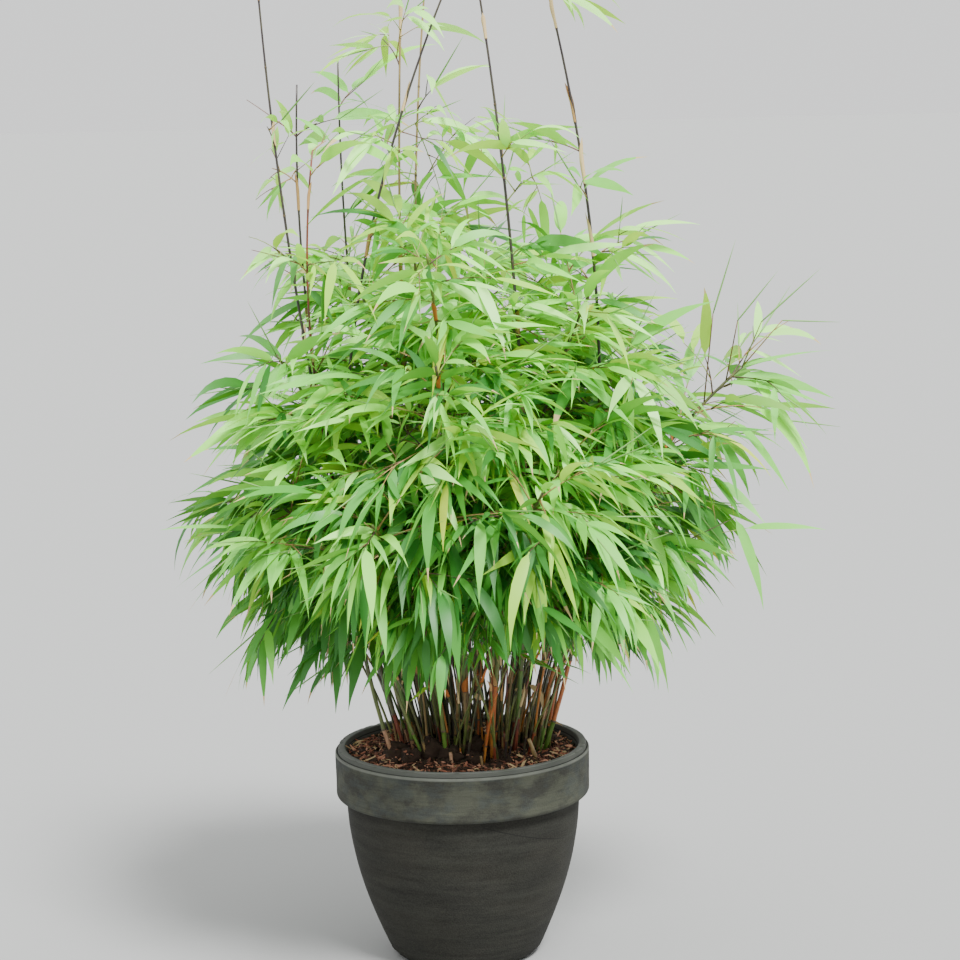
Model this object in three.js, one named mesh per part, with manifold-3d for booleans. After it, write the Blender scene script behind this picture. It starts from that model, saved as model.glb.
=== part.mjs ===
// A clump of slender bamboo in a banded clay pot. Millimetres, +Z up, the origin at the
// centre of the pot's underside. The front of the plant faces -Y.
import * as THREE from "three";
import { mergeVertices } from "three/addons/utils/BufferGeometryUtils.js";
import Module from "manifold-3d";

const wasm = await Module();
wasm.setup();

// The clay pot: a rounded, tapering body under a deep plain band.
const POT_HEIGHT = 240;
const RIM_RADIUS = 143;
const BAND_DEPTH = 57.5;
const BAND_FLARE = 0.5;
const BAND_STEP = 11.5;
const BAND_EDGE = 5;
const BAND_FOOT = POT_HEIGHT - BAND_DEPTH;
const FOOT_RADIUS = 81.5;
const FOOT_EDGE = 8;
const SWELL_POWER = 0.93;
const RIM_EDGE = 4;
const WALL = 12;
const FLOOR = 14;
const POT_SIDES = 32;
const BODY_STEPS = 8;
const BODY_STEP_POWER = 1.6;
const HOLLOW_STEPS = [1, 0.56, 0.28];

// The potting soil fills the pot to a little under the rim.
const SOIL_LEVEL = 231;
const SEAT = 0.3;

// The clump stands a little to the right of the pot's centre.
const CLUMP = new THREE.Vector3(12, 0, SOIL_LEVEL + SEAT);
const CLUMP_DEPTH = 0.8;
const CULM_SPACING = 9;
const SEED = 2026;

// Leafy culms grow in rings: the outer ones arch over, the inner ones stand up. Lengths and
// the spacing of the twigs in millimetres, leans and turns in degrees, bare as a share.
const RINGS = [
  { count: 7, foot: 72, length: 365, leanFoot: 6, leanTip: 50, bare: 0.44, turn: 39, spacing: 38 },
  { count: 5, foot: 46, length: 450, leanFoot: 4, leanTip: 34, bare: 0.38, turn: 54, spacing: 26 },
  { count: 4, foot: 22, length: 555, leanFoot: 2, leanTip: 24, bare: 0.42, turn: 70, spacing: 24 },
  { count: 1, foot: 84, length: 480, leanFoot: 6, leanTip: 48, bare: 0.5, turn: 8, spacing: 36 },
];
const TURN_VARIES = 9;
const SPREAD_RANGE = [0.9, 1.1];
const LENGTH_RANGE = [0.92, 1.1];
const LEAN_RANGE = [0.85, 1.15];
const LEAFY_FOOT_RADIUS = 2.6;
const LEAFY_TIP_RADIUS = 1.5;
const CULM_SIDES = 5;
const LEAFY_STEPS = 3;
const TALL_STEPS = 9;

// This year's tall culms rise through the crown: foot, the point that bends them, and tip.
const TALL = [
  { foot: [-62, -20], bend: [-180, -30, 650], tip: [-203, -10, 1140], radius: 2.2 },
  { foot: [-70, 30], bend: [-185, 60, 640], tip: [-165, 50, 975], radius: 1.9 },
  { foot: [-48, 45], bend: [-125, 60, 620], tip: [-120, 70, 1005], radius: 1.9 },
  { foot: [-75, -45], bend: [-200, -70, 640], tip: [25, -20, 1125], radius: 2.4 },
  { foot: [-40, -55], bend: [-185, -85, 600], tip: [-143, -70, 905], radius: 1.8 },
  { foot: [-25, 10], bend: [-75, 20, 650], tip: [-42, 25, 1150], radius: 2.2 },
  { foot: [-5, 35], bend: [-70, 50, 650], tip: [-16, 60, 1130], radius: 1.9 },
  { foot: [58, -35], bend: [106, -75, 640], tip: [22, -40, 1175], radius: 2.6 },
  { foot: [92, -15], bend: [230, -40, 640], tip: [88, -25, 1160], radius: 2.6 },
];
const TALL_TIP_RADIUS = 1.0;

// Small leafy sprays on the tall culms: which culm, how far up it, direction and reach.
const SPRAYS = [
  { culm: 1, up: 0.84, azimuth: 172, rise: 25, length: 34 },
  { culm: 2, up: 0.66, azimuth: 190, rise: 35, length: 56 },
  { culm: 3, up: 0.78, azimuth: 20, rise: 20, length: 40 },
  { culm: 5, up: 0.84, azimuth: 160, rise: 50, length: 36 },
  { culm: 6, up: 0.7, azimuth: 30, rise: 45, length: 46 },
  { culm: 7, up: 0.68, azimuth: 15, rise: 30, length: 54 },
  { culm: 8, up: 0.62, azimuth: 5, rise: 20, length: 44 },
  { culm: 8, up: 0.9, azimuth: 40, rise: 55, length: 34 },
];

// Leaves and twigs of the masses. Each leaf stands for two or three of the real ones.
const LEAF_LENGTH = 100;
const LEAF_WIDTH = 20;
const LEAF_THICKNESS = 1.6;
const WIDEST_AT = 0.38;
const MOST_ROLL = 1.0;
const TWIG_RADIUS = 0.65;
const TWIG_LENGTH = 96;
const STEM_STEPS = 3;
const CULM_FOLIAGE = { leavesPerTwig: 6, scale: 1 };
const SPRAY_FOLIAGE = { leavesPerTwig: 3, scale: 0.76 };
const SPRAY_NODES = 2;
const SPRAY_ARCH = [-25, 10];

// A leaf's aim beside its twig, how far it falls and droops, and its share of full size.
const LEAF_ASIDE = [0.6, 1.1];
const LEAF_AHEAD = [-0.2, 0.2];
const LEAF_FALL = [-0.6, 0];
const LEAF_DROOP = [0.25, 0.85];
const LEAF_LENGTHS = [0.8, 1.12];
const LEAF_WIDTHS = [0.85, 1.1];
const LEAVES_FROM = 0.25;
const LEAVES_TO = 0.93;
const LAST_LEAF_AT = 0.97;

// A twig's aim along its stem, its share of full length, and where twigs stand between nodes.
const TWIG_AHEAD = [0.35, 0.8];
const TWIG_LENGTHS = [0.55, 1.1];
const NODE_AT = 0.4;
const STEM_END = 0.96;

// How far a leaf keeps from its neighbours, and a mass from the next one and from the culms.
const LEAF_SPACING = 22;
const APART = 8;
const CLEARANCE = 1.2;
const TRIES = 24;

const UP = new THREE.Vector3(0, 0, 1);
const PATH_STEPS = 24;
const CLAY = { color: 0x55564f, roughness: 0.85 };
const SOIL = { color: 0x4a3226, roughness: 1 };
const CULM_SKIN = { color: 0x2e2b22, roughness: 0.5 };
const LEAF_GREEN = { color: 0x6fae4e, roughness: 0.6 };

function radians(degrees) {
  return degrees * Math.PI / 180;
}

function twoDigits(number) {
  return String(number).padStart(2, "0");
}

// Repeatable random numbers from 0 to 1.
function seededRandom(seed) {
  let state = seed >>> 0;
  return () => {
    state = (state + 0x6d2b79f5) >>> 0;
    let mixed = Math.imul(state ^ (state >>> 15), state | 1);
    mixed ^= mixed + Math.imul(mixed ^ (mixed >>> 7), mixed | 61);
    return ((mixed ^ (mixed >>> 14)) >>> 0) / 4294967296;
  };
}

function between(random, low, high) {
  return low + (high - low) * random();
}

// A closed geometry reduced to its shared corners.
function cornersOnly(geometry) {
  geometry.deleteAttribute("normal");
  geometry.deleteAttribute("uv");
  return mergeVertices(geometry, 1e-4);
}

function toSolid(geometry) {
  const shared = cornersOnly(geometry);
  return new wasm.Manifold(new wasm.Mesh({
    numProp: 3,
    vertProperties: new Float32Array(shared.attributes.position.array),
    triVerts: new Uint32Array(shared.index.array),
  }));
}

function fromSolid(solid) {
  const mesh = solid.getMesh();
  const geometry = new THREE.BufferGeometry();
  geometry.setAttribute("position", new THREE.BufferAttribute(mesh.vertProperties, 3));
  geometry.setIndex(new THREE.BufferAttribute(mesh.triVerts, 1));
  geometry.computeVertexNormals();
  return geometry;
}

// Joins shapes into one body: sealed hollows are filled and loose scraps dropped.
function joinSolids(solids) {
  const bodies = wasm.Manifold.union(solids).decompose();
  return bodies.reduce((most, body) => (body.volume() > most.volume() ? body : most));
}

function addNamed(name, geometry, finish) {
  const material = new THREE.MeshStandardMaterial({ ...finish, metalness: 0 });
  const mesh = new THREE.Mesh(geometry, material);
  mesh.name = name;
  plant.add(mesh);
}

// Pot and soil

// Outside radius of the pot's body at a height: it swells fast at the foot, then evenly.
function bodyRadius(height) {
  const swell = RIM_RADIUS - BAND_FLARE - BAND_STEP - FOOT_RADIUS;
  return FOOT_RADIUS + swell * Math.sin(Math.PI / 2 * height / BAND_FOOT) ** SWELL_POWER;
}

// Inside radius of the pot, which follows the body and opens out behind the band.
function hollowRadius(height) {
  const behindBand = Math.max(0, height - BAND_FOOT) / BAND_DEPTH;
  return bodyRadius(Math.min(height, BAND_FOOT)) - WALL + behindBand * (BAND_STEP + BAND_FLARE);
}

// The hollow from a height down to the floor, drawn in by a gap where soil fills it.
function hollowProfile(top, gap) {
  const heights = [top, ...HOLLOW_STEPS.map((share) => share * BAND_FOOT), FLOOR + gap];
  return heights.map((height) => new THREE.Vector2(hollowRadius(height) - gap, height));
}

function latheZ(profile) {
  const geometry = new THREE.LatheGeometry(profile, POT_SIDES);
  return cornersOnly(geometry.rotateX(Math.PI / 2));
}

function pot() {
  const points = [new THREE.Vector2(0, 0), new THREE.Vector2(FOOT_RADIUS - FOOT_EDGE, 0)];
  for (let step = 1; step <= BODY_STEPS; step++) {
    const height = BAND_FOOT * (step / BODY_STEPS) ** BODY_STEP_POWER;
    points.push(new THREE.Vector2(bodyRadius(height), height));
  }
  const bandFootRadius = RIM_RADIUS - BAND_FLARE;
  points.push(new THREE.Vector2(bandFootRadius - BAND_EDGE, BAND_FOOT + BAND_EDGE * 0.2));
  points.push(new THREE.Vector2(bandFootRadius, BAND_FOOT + BAND_EDGE));
  points.push(new THREE.Vector2(RIM_RADIUS, POT_HEIGHT - 2 * RIM_EDGE));
  points.push(new THREE.Vector2(RIM_RADIUS - RIM_EDGE * 0.25, POT_HEIGHT - RIM_EDGE * 0.3));
  points.push(new THREE.Vector2(RIM_RADIUS - RIM_EDGE, POT_HEIGHT));
  points.push(new THREE.Vector2(hollowRadius(POT_HEIGHT) + RIM_EDGE * 0.4, POT_HEIGHT));
  points.push(...hollowProfile(POT_HEIGHT - RIM_EDGE * 0.4, 0));
  points.push(new THREE.Vector2(0, FLOOR));
  return latheZ(points);
}

function soil() {
  return latheZ([
    new THREE.Vector2(0, FLOOR + SEAT),
    ...hollowProfile(SOIL_LEVEL, SEAT).reverse(),
    new THREE.Vector2(0, SOIL_LEVEL),
  ]);
}

// Paths and limbs

// An arching culm: its lean grows evenly from the foot to the tip.
function archPath(foot, azimuth, length, leanFoot, leanTip) {
  const outward = new THREE.Vector3(Math.cos(azimuth), Math.sin(azimuth), 0);
  const path = [foot.clone()];
  for (let step = 0; step < PATH_STEPS; step++) {
    const lean = leanFoot + (leanTip - leanFoot) * (step + 0.5) / PATH_STEPS;
    const next = path[step].clone();
    next.addScaledVector(outward, Math.sin(lean) * length / PATH_STEPS);
    next.addScaledVector(UP, Math.cos(lean) * length / PATH_STEPS);
    path.push(next);
  }
  return path;
}

function bentPath(foot, bend, tip) {
  return new THREE.QuadraticBezierCurve3(foot, bend, tip).getPoints(PATH_STEPS);
}

function pointAt(path, share) {
  const place = Math.min(Math.max(share, 0), 1) * (path.length - 1);
  const step = Math.min(Math.floor(place), path.length - 2);
  return path[step].clone().lerp(path[step + 1], place - step);
}

function directionAt(path, share) {
  const reach = 0.5 / (path.length - 1);
  return pointAt(path, share + reach).sub(pointAt(path, share - reach)).normalize();
}

function pathLength(path) {
  return path.slice(1).reduce((sum, point, step) => sum + point.distanceTo(path[step]), 0);
}

// A horizontal direction square to the way a path runs.
function sideOf(path) {
  const side = new THREE.Vector3().crossVectors(UP, path.at(-1).clone().sub(path[0]));
  return side.lengthSq() > 1 ? side.normalize() : new THREE.Vector3(1, 0, 0);
}

function ngon(sides) {
  const corners = Array.from({ length: sides }, (_, i) => {
    const angle = 2 * Math.PI * i / sides;
    return new THREE.Vector2(Math.cos(angle), Math.sin(angle));
  });
  return new THREE.Shape(corners);
}

// One tapering limb along part of a path, its foot cut level where it stands on soil.
function limb(path, { from = 0, to = 1, radiusFoot, radiusTip, sides, steps, levelFoot = false }) {
  const geometry = new THREE.ExtrudeGeometry(ngon(sides), { depth: 1, steps, bevelEnabled: false });
  const position = geometry.attributes.position;
  const reference = sideOf(path);
  for (let i = 0; i < position.count; i++) {
    const along = position.getZ(i);
    const share = from + (to - from) * along;
    const direction = levelFoot && along === 0 ? UP.clone() : directionAt(path, share);
    const across = reference.clone().addScaledVector(direction, -reference.dot(direction)).normalize();
    const around = new THREE.Vector3().crossVectors(direction, across);
    const radius = radiusFoot + (radiusTip - radiusFoot) * along;
    const point = pointAt(path, share);
    point.addScaledVector(across, position.getX(i) * radius);
    point.addScaledVector(around, position.getY(i) * radius);
    position.setXYZ(i, point.x, point.y, point.z);
  }
  return geometry;
}

function distanceToPath(point, path) {
  const nearest = new THREE.Vector3();
  const steps = path.slice(1).map((end, step) => {
    new THREE.Line3(path[step], end).closestPointToPoint(point, true, nearest);
    return nearest.distanceTo(point);
  });
  return Math.min(...steps);
}

// A path drawn in a few straight steps.
function inSteps(path, steps) {
  return Array.from({ length: steps + 1 }, (_, i) => pointAt(path, i / steps));
}

// The stretch of a path between two shares of its length.
function stretch(path, from, to) {
  const steps = Math.max(2, Math.ceil(PATH_STEPS * (to - from)));
  return Array.from({ length: steps + 1 }, (_, i) => pointAt(path, from + (to - from) * i / steps));
}

// Culms

const culms = [];

function leafyCulm(ring, turn, random) {
  const azimuth = radians(turn + between(random, -TURN_VARIES, TURN_VARIES));
  const spread = between(random, ...SPREAD_RANGE);
  const foot = CLUMP.clone();
  foot.x += Math.cos(azimuth) * ring.foot * spread;
  foot.y += Math.sin(azimuth) * ring.foot * spread * CLUMP_DEPTH;
  const length = ring.length * between(random, ...LENGTH_RANGE);
  const lean = radians(ring.leanTip * between(random, ...LEAN_RANGE));
  const path = archPath(foot, azimuth, length, radians(ring.leanFoot), lean);
  const bare = ring.bare * between(random, ...LENGTH_RANGE);
  return {
    path,
    bare,
    spacing: ring.spacing,
    radius: LEAFY_FOOT_RADIUS,
    tipRadius: LEAFY_TIP_RADIUS,
    limb: stretch(path, 0, bare),
  };
}

// Each leafy culm is moved about until it runs clear of those that stand already.
function addLeafyCulms() {
  const random = seededRandom(SEED);
  for (const ring of RINGS) {
    for (let i = 0; i < ring.count; i++) {
      let culm;
      do {
        culm = leafyCulm(ring, ring.turn + 360 * i / ring.count, random);
      } while (!culm.path.every((point) => (
        culms.every((other) => distanceToPath(point, other.path) > CULM_SPACING)
      )));
      culms.push(culm);
    }
  }
}

function addTallCulms() {
  for (const tall of TALL) {
    const foot = new THREE.Vector3(tall.foot[0], tall.foot[1], CLUMP.z);
    const path = bentPath(foot, new THREE.Vector3(...tall.bend), new THREE.Vector3(...tall.tip));
    culms.push({ path, bare: 1, radius: tall.radius, tipRadius: TALL_TIP_RADIUS, limb: path });
  }
}

function radiusAt(culm, share) {
  return culm.radius + (culm.tipRadius - culm.radius) * share;
}

// Masses of foliage

// Every mass owns the space that lies nearest its own stem.
const masses = [];

function inOwnSpace(point, mass) {
  const own = distanceToPath(point, mass.stem);
  return masses.every((other) => other === mass
    || distanceToPath(point, other.stem) > own + CLEARANCE);
}

function clearOfLimbs(point, reach) {
  return culms.every((culm) => (
    distanceToPath(point, culm.limb) > culm.radius + reach + CLEARANCE
  ));
}

// A leaf springs from its twig, rises a little and droops to a long point.
function leafCorners(root, direction, length, width, droop, roll) {
  const side = new THREE.Vector3().crossVectors(UP, direction).normalize();
  side.applyAxisAngle(direction, roll);
  const face = new THREE.Vector3().crossVectors(direction, side);
  const middle = root.clone().addScaledVector(direction, length * WIDEST_AT);
  const drooped = direction.clone().addScaledVector(UP, -droop).normalize();
  const tip = middle.clone().addScaledVector(drooped, length * (1 - WIDEST_AT));
  return {
    root,
    tip,
    left: middle.clone().addScaledVector(side, width / 2),
    right: middle.clone().addScaledVector(side, -width / 2),
    top: middle.clone().addScaledVector(face, LEAF_THICKNESS / 2),
    under: middle.clone().addScaledVector(face, -LEAF_THICKNESS / 2),
    middle,
  };
}

function leafSolid(leaf) {
  const geometry = new THREE.OctahedronGeometry(1);
  const position = geometry.attributes.position;
  const corners = [
    [[-1, 0, 0], leaf.root],
    [[1, 0, 0], leaf.tip],
    [[0, 1, 0], leaf.left],
    [[0, -1, 0], leaf.right],
    [[0, 0, 1], leaf.top],
    [[0, 0, -1], leaf.under],
  ];
  for (let i = 0; i < position.count; i++) {
    const at = new THREE.Vector3().fromBufferAttribute(position, i);
    const corner = corners.find(([place]) => at.distanceTo(new THREE.Vector3(...place)) < 0.1);
    position.setXYZ(i, ...corner[1]);
  }
  return toSolid(geometry);
}

function twigSolid(path) {
  const sizes = { radiusFoot: TWIG_RADIUS, radiusTip: TWIG_RADIUS * 0.7, sides: 3, steps: 1 };
  return toSolid(limb(path, sizes));
}

// Points along a leaf's middle line from its widest part to its tip, and how wide it is there.
function leafPlaces(leaf) {
  return [0, 0.25, 0.5, 0.75, 1].map((share) => (
    { at: leaf.middle.clone().lerp(leaf.tip, share), wide: 1 - share }
  ));
}

function twigPlaces(twig) {
  return [0.2, 0.36, 0.52, 0.68, 0.84, 1].map((share) => pointAt(twig, share));
}

function farFrom(point, others, distance) {
  return others.every((other) => other.distanceTo(point) > distance);
}

function leafFits(leaf, mass, beside) {
  const foot = leaf.root.clone().lerp(leaf.middle, 0.6);
  return beside.every((other) => other.middle.distanceTo(leaf.middle) > LEAF_SPACING)
    && clearOfLimbs(foot, LEAF_WIDTH / 3)
    && [leaf.left, leaf.right].every((place) => inOwnSpace(place, mass))
    && leafPlaces(leaf).every(({ at, wide }) => (
      farFrom(at, mass.filled, APART) && inOwnSpace(at, mass) && clearOfLimbs(at, wide * LEAF_WIDTH / 2)
    ));
}

function twigFits(twig, mass) {
  return twigPlaces(twig).every((place) => (
    farFrom(place, mass.filled, APART) && inOwnSpace(place, mass) && clearOfLimbs(place, TWIG_RADIUS)
  ));
}

function fill(mass, twig, leaves) {
  mass.filled.push(...twigPlaces(twig).slice(1));
  leaves.forEach((leaf) => mass.filled.push(...leafPlaces(leaf).map(({ at }) => at)));
}

// Leaves stand alternately on both sides of the outer half of a twig, and one at its tip.
function leavesOn(twig, mass, random) {
  const leaves = [];
  const count = mass.leavesPerTwig;
  const direction = directionAt(twig, 0.5);
  const side = sideOf(twig);
  for (let i = 0; i < count; i++) {
    const last = i === count - 1;
    const along = LEAVES_FROM + (LEAVES_TO - LEAVES_FROM) * i / (count - 1);
    const place = pointAt(twig, last ? LAST_LEAF_AT : along);
    const hand = i % 2 ? -1 : 1;
    const spread = last ? between(random, ...LEAF_AHEAD) : hand * between(random, ...LEAF_ASIDE);
    const aim = direction.clone().addScaledVector(side, spread);
    aim.addScaledVector(UP, between(random, ...LEAF_FALL)).normalize();
    const length = mass.scale * LEAF_LENGTH * between(random, ...LEAF_LENGTHS);
    const width = mass.scale * LEAF_WIDTH * between(random, ...LEAF_WIDTHS);
    const droop = between(random, ...LEAF_DROOP);
    const roll = between(random, -MOST_ROLL, MOST_ROLL);
    const leaf = leafCorners(place, aim, length, width, droop, roll);
    if (leafFits(leaf, mass, leaves)) {
      leaves.push(leaf);
    }
  }
  return leaves;
}

// A twig leaves the stem at a slant, on the side that still has room in the mass.
function growTwig(mass, share, random) {
  const root = pointAt(mass.path, share);
  const along = directionAt(mass.path, share);
  const across = sideOf(mass.path);
  const around = new THREE.Vector3().crossVectors(along, across);
  let best = { twig: null, leaves: [] };
  for (let attempt = 0; attempt < TRIES; attempt++) {
    const angle = between(random, 0, 2 * Math.PI);
    const aim = along.clone().multiplyScalar(between(random, ...TWIG_AHEAD));
    aim.addScaledVector(across, Math.cos(angle));
    aim.addScaledVector(around, Math.sin(angle)).normalize();
    const length = mass.scale * TWIG_LENGTH * between(random, ...TWIG_LENGTHS);
    const twig = [root, root.clone().addScaledVector(aim, length)];
    const leaves = twigFits(twig, mass) ? leavesOn(twig, mass, random) : [];
    if (leaves.length > best.leaves.length) {
      best = { twig, leaves };
    }
  }
  return best;
}

function growMass(mass, random) {
  const stem = limb(mass.path, {
    from: mass.from,
    radiusFoot: mass.radius,
    radiusTip: mass.tipRadius,
    sides: 3,
    steps: STEM_STEPS,
  });
  const solids = [toSolid(stem)];
  const end = [pointAt(mass.path, STEM_END), pointAt(mass.path, 1)];
  const leaves = leavesOn(end, mass, random);
  fill(mass, end, leaves);
  for (let node = 0; node < mass.nodes; node++) {
    const share = mass.from + (1 - mass.from) * (node + NODE_AT) / mass.nodes;
    const grown = growTwig(mass, share, random);
    if (grown.leaves.length > 0) {
      solids.push(twigSolid(grown.twig));
      leaves.push(...grown.leaves);
      fill(mass, grown.twig, grown.leaves);
    }
  }
  return joinSolids([...solids, ...leaves.map(leafSolid)]);
}

// The foliage of a leafy culm goes on where its bare stem ends.
function planCulmMasses() {
  culms.filter((culm) => culm.bare < 1).forEach((culm, index) => {
    const length = pathLength(culm.path);
    masses.push({
      ...CULM_FOLIAGE,
      name: `foliage_${twoDigits(index + 1)}`,
      path: culm.path,
      from: culm.bare + SEAT / length,
      radius: radiusAt(culm, culm.bare),
      tipRadius: culm.tipRadius,
      nodes: Math.round(length * (1 - culm.bare) / culm.spacing),
      stem: stretch(culm.path, culm.bare, 1),
      filled: [],
    });
  });
}

// A spray's stem starts clear of the tall culm's skin and arches out.
function planSprays() {
  const tall = culms.filter((culm) => culm.bare === 1);
  SPRAYS.forEach((spray, index) => {
    const culm = tall[spray.culm];
    const azimuth = radians(spray.azimuth);
    const foot = pointAt(inSteps(culm.path, TALL_STEPS), spray.up);
    const outward = new THREE.Vector3(Math.cos(azimuth), Math.sin(azimuth), 0);
    foot.addScaledVector(outward, radiusAt(culm, spray.up) + SEAT + TWIG_RADIUS * 0.6);
    const [leanFoot, leanTip] = SPRAY_ARCH.map((degrees) => radians(90 - spray.rise + degrees));
    const path = archPath(foot, azimuth, spray.length, leanFoot, leanTip);
    masses.push({
      ...SPRAY_FOLIAGE,
      name: `spray_${index + 1}`,
      path,
      from: 0,
      radius: TWIG_RADIUS,
      tipRadius: TWIG_RADIUS * 0.8,
      nodes: SPRAY_NODES,
      stem: path,
      filled: [],
    });
  });
}

function addCulm(name, culm, steps) {
  const shape = limb(culm.path, {
    to: culm.bare,
    radiusFoot: culm.radius,
    radiusTip: radiusAt(culm, culm.bare),
    sides: CULM_SIDES,
    steps,
    levelFoot: true,
  });
  addNamed(name, cornersOnly(shape), CULM_SKIN);
}

// The whole plant

const plant = new THREE.Group();
addNamed("pot", pot(), CLAY);
addNamed("soil", soil(), SOIL);

addTallCulms();
culms.forEach((culm, index) => addCulm(`tall_culm_${index + 1}`, culm, TALL_STEPS));
addLeafyCulms();
culms.slice(TALL.length).forEach((culm, index) => {
  addCulm(`stem_${twoDigits(index + 1)}`, culm, LEAFY_STEPS);
});

planCulmMasses();
planSprays();
masses.forEach((mass, index) => {
  const solid = growMass(mass, seededRandom(SEED + 1 + index));
  addNamed(mass.name, fromSolid(solid), LEAF_GREEN);
});

export default plant;
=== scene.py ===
# A clump of slender bamboo in a banded grey clay pot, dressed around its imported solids.
# The growth is worked out in millimetres and built in metres. The front faces -Y, +Z is up.
import math
from collections import namedtuple

import bpy
import numpy as np
from mathutils import Matrix, Vector, noise


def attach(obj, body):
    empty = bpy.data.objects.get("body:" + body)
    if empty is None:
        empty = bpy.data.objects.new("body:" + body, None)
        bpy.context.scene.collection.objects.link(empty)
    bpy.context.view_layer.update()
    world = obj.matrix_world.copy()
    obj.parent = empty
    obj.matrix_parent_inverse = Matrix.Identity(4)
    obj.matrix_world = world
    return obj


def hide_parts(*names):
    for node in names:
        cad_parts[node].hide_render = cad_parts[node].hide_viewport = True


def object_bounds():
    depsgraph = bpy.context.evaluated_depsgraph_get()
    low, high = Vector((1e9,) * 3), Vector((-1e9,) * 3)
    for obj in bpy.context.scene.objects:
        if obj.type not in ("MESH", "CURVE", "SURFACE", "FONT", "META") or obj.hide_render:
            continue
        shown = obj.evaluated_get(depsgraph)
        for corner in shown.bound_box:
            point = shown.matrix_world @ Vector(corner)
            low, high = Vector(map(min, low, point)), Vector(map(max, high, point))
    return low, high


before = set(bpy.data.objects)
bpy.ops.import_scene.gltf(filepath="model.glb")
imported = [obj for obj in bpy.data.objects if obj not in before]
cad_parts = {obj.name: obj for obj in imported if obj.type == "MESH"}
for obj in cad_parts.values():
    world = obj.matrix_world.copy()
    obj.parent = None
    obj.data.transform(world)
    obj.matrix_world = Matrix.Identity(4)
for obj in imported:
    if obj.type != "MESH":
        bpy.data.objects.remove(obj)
cad_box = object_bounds()

MM = 0.001
UP = np.array([0.0, 0.0, 1.0])

# The pot, as the solids have it.
POT_HEIGHT = 240
RIM_RADIUS = 143
BAND_DEPTH = 57.5
BAND_FLARE = 0.5
BAND_STEP = 11.5
BAND_EDGE = 5
BAND_FOOT = POT_HEIGHT - BAND_DEPTH
FOOT_RADIUS = 81.5
FOOT_EDGE = 8
SWELL_POWER = 0.93
SHOULDER_DROP = 5
SHOULDER_RADIUS = 1.8
INNER_EDGE = 2.2
WALL = 12
POT_SIDES = 208
RIM_CHIPS = 26
SOIL_LEVEL = 231
SOIL_UNDERSIDE = 196
SOIL_RINGS = 46
SOIL_SIDES = 150
SEAT = 0.3

# The step and lip above the shoulder: each point's way in from the rim and down from the top.
LIP = ((2.1, 5.5), (2.5, 5.7), (2.8, 5.0), (3.0, 3.0), (3.2, 1.4), (3.7, 0.5), (4.6, 0.1),
       (6.5, 0.05))

# A hairline scored across the front of the body, on a slant.
SCORE_SLANT = (0.352, 0, 1)
SCORE_HEIGHT = 184.1

# The clump, as the solids have it: rings of leafy culms, and tall culms through them.
CLUMP = np.array([12.0, 0.0, SOIL_LEVEL + SEAT])
CLUMP_DEPTH = 0.8
CULM_SPACING = 9
SEED = 2026
SEEDS = dict(slender_culms=50, culm_tones=100, masses=200, sprays=260, twigs=300, small_leaves=320,
             slender_masses=330, side_shoots=380, rim_chips=400, bark=500, clods=520, filaments=540)
RINGS = [
    dict(count=7, foot=72, length=365, lean_foot=6, lean_tip=50, bare=0.44, turn=39),
    dict(count=5, foot=46, length=450, lean_foot=4, lean_tip=34, bare=0.38, turn=54),
    dict(count=4, foot=22, length=555, lean_foot=2, lean_tip=24, bare=0.42, turn=70),
    dict(count=1, foot=84, length=480, lean_foot=6, lean_tip=48, bare=0.5, turn=8),
]
TURN_VARIES = 9
SPREAD_RANGE = (0.9, 1.1)
LENGTH_RANGE = (0.92, 1.1)
LEAN_RANGE = (0.85, 1.15)
LEAFY_FOOT_RADIUS = 2.6
LEAFY_TIP_RADIUS = 1.5
TALL = [
    ((-62, -20), (-180, -30, 650), (-203, -10, 1140), 2.2),
    ((-70, 30), (-185, 60, 640), (-165, 50, 975), 1.9),
    ((-48, 45), (-125, 60, 620), (-120, 70, 1005), 1.9),
    ((-75, -45), (-200, -70, 640), (25, -20, 1125), 2.4),
    ((-40, -55), (-185, -85, 600), (-143, -70, 905), 1.8),
    ((-25, 10), (-75, 20, 650), (-42, 25, 1150), 2.2),
    ((-5, 35), (-70, 50, 650), (-16, 60, 1130), 1.9),
    ((58, -35), (106, -75, 640), (22, -40, 1175), 2.6),
    ((92, -15), (230, -40, 640), (88, -25, 1160), 2.6),
]
TALL_TIP_RADIUS = 1.0
SPRAYS = [
    dict(culm=1, up=0.84, azimuth=172, rise=25, length=34),
    dict(culm=2, up=0.66, azimuth=190, rise=35, length=56),
    dict(culm=3, up=0.78, azimuth=20, rise=20, length=40),
    dict(culm=5, up=0.84, azimuth=160, rise=50, length=36),
    dict(culm=6, up=0.7, azimuth=30, rise=45, length=46),
    dict(culm=7, up=0.68, azimuth=15, rise=30, length=54),
    dict(culm=8, up=0.62, azimuth=5, rise=20, length=44),
    dict(culm=8, up=0.9, azimuth=40, rise=55, length=34),
]
SPRAY_ARCH = (-25, 10)
PATH_STEPS = 24

# The finer growth: branches at the nodes of a culm, leafy twigs on them, leaves at their ends.
NODE_SPACING = 22
BRANCH_LENGTHS = (36, 165)
TWIG_SPACING = 34
TWIG_LENGTH = 46
STEEPEST_SHOOT = 1.35
LOWEST_LEAF = 301
OPEN_FRONT = dict(x=48, wide=82, raised=64)

# A leaf: its usual length, the shares of it that a leaf has at least and may have more, its width as
# a share of its length, and the gap to the next leaf. Its turn aside and its droop are in radians,
# and its lift is added to its aim.
LEAF_LENGTH = 80
LEAF_SHORTEST = 0.55
LEAF_VARIES = 0.78
LEAF_WIDTH = 0.13
LEAF_GAPS = (4, 16)
LEAF_SPREAD = (0.35, 0.8)
LEAF_LIFT = (-0.7, 0.45)
LEAF_DROOP = (0.05, 0.85)
LEAF_STALK = 3
SMALL_LEAF = 0.68
ROLLED_LENGTHS = (38, 88)

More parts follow.
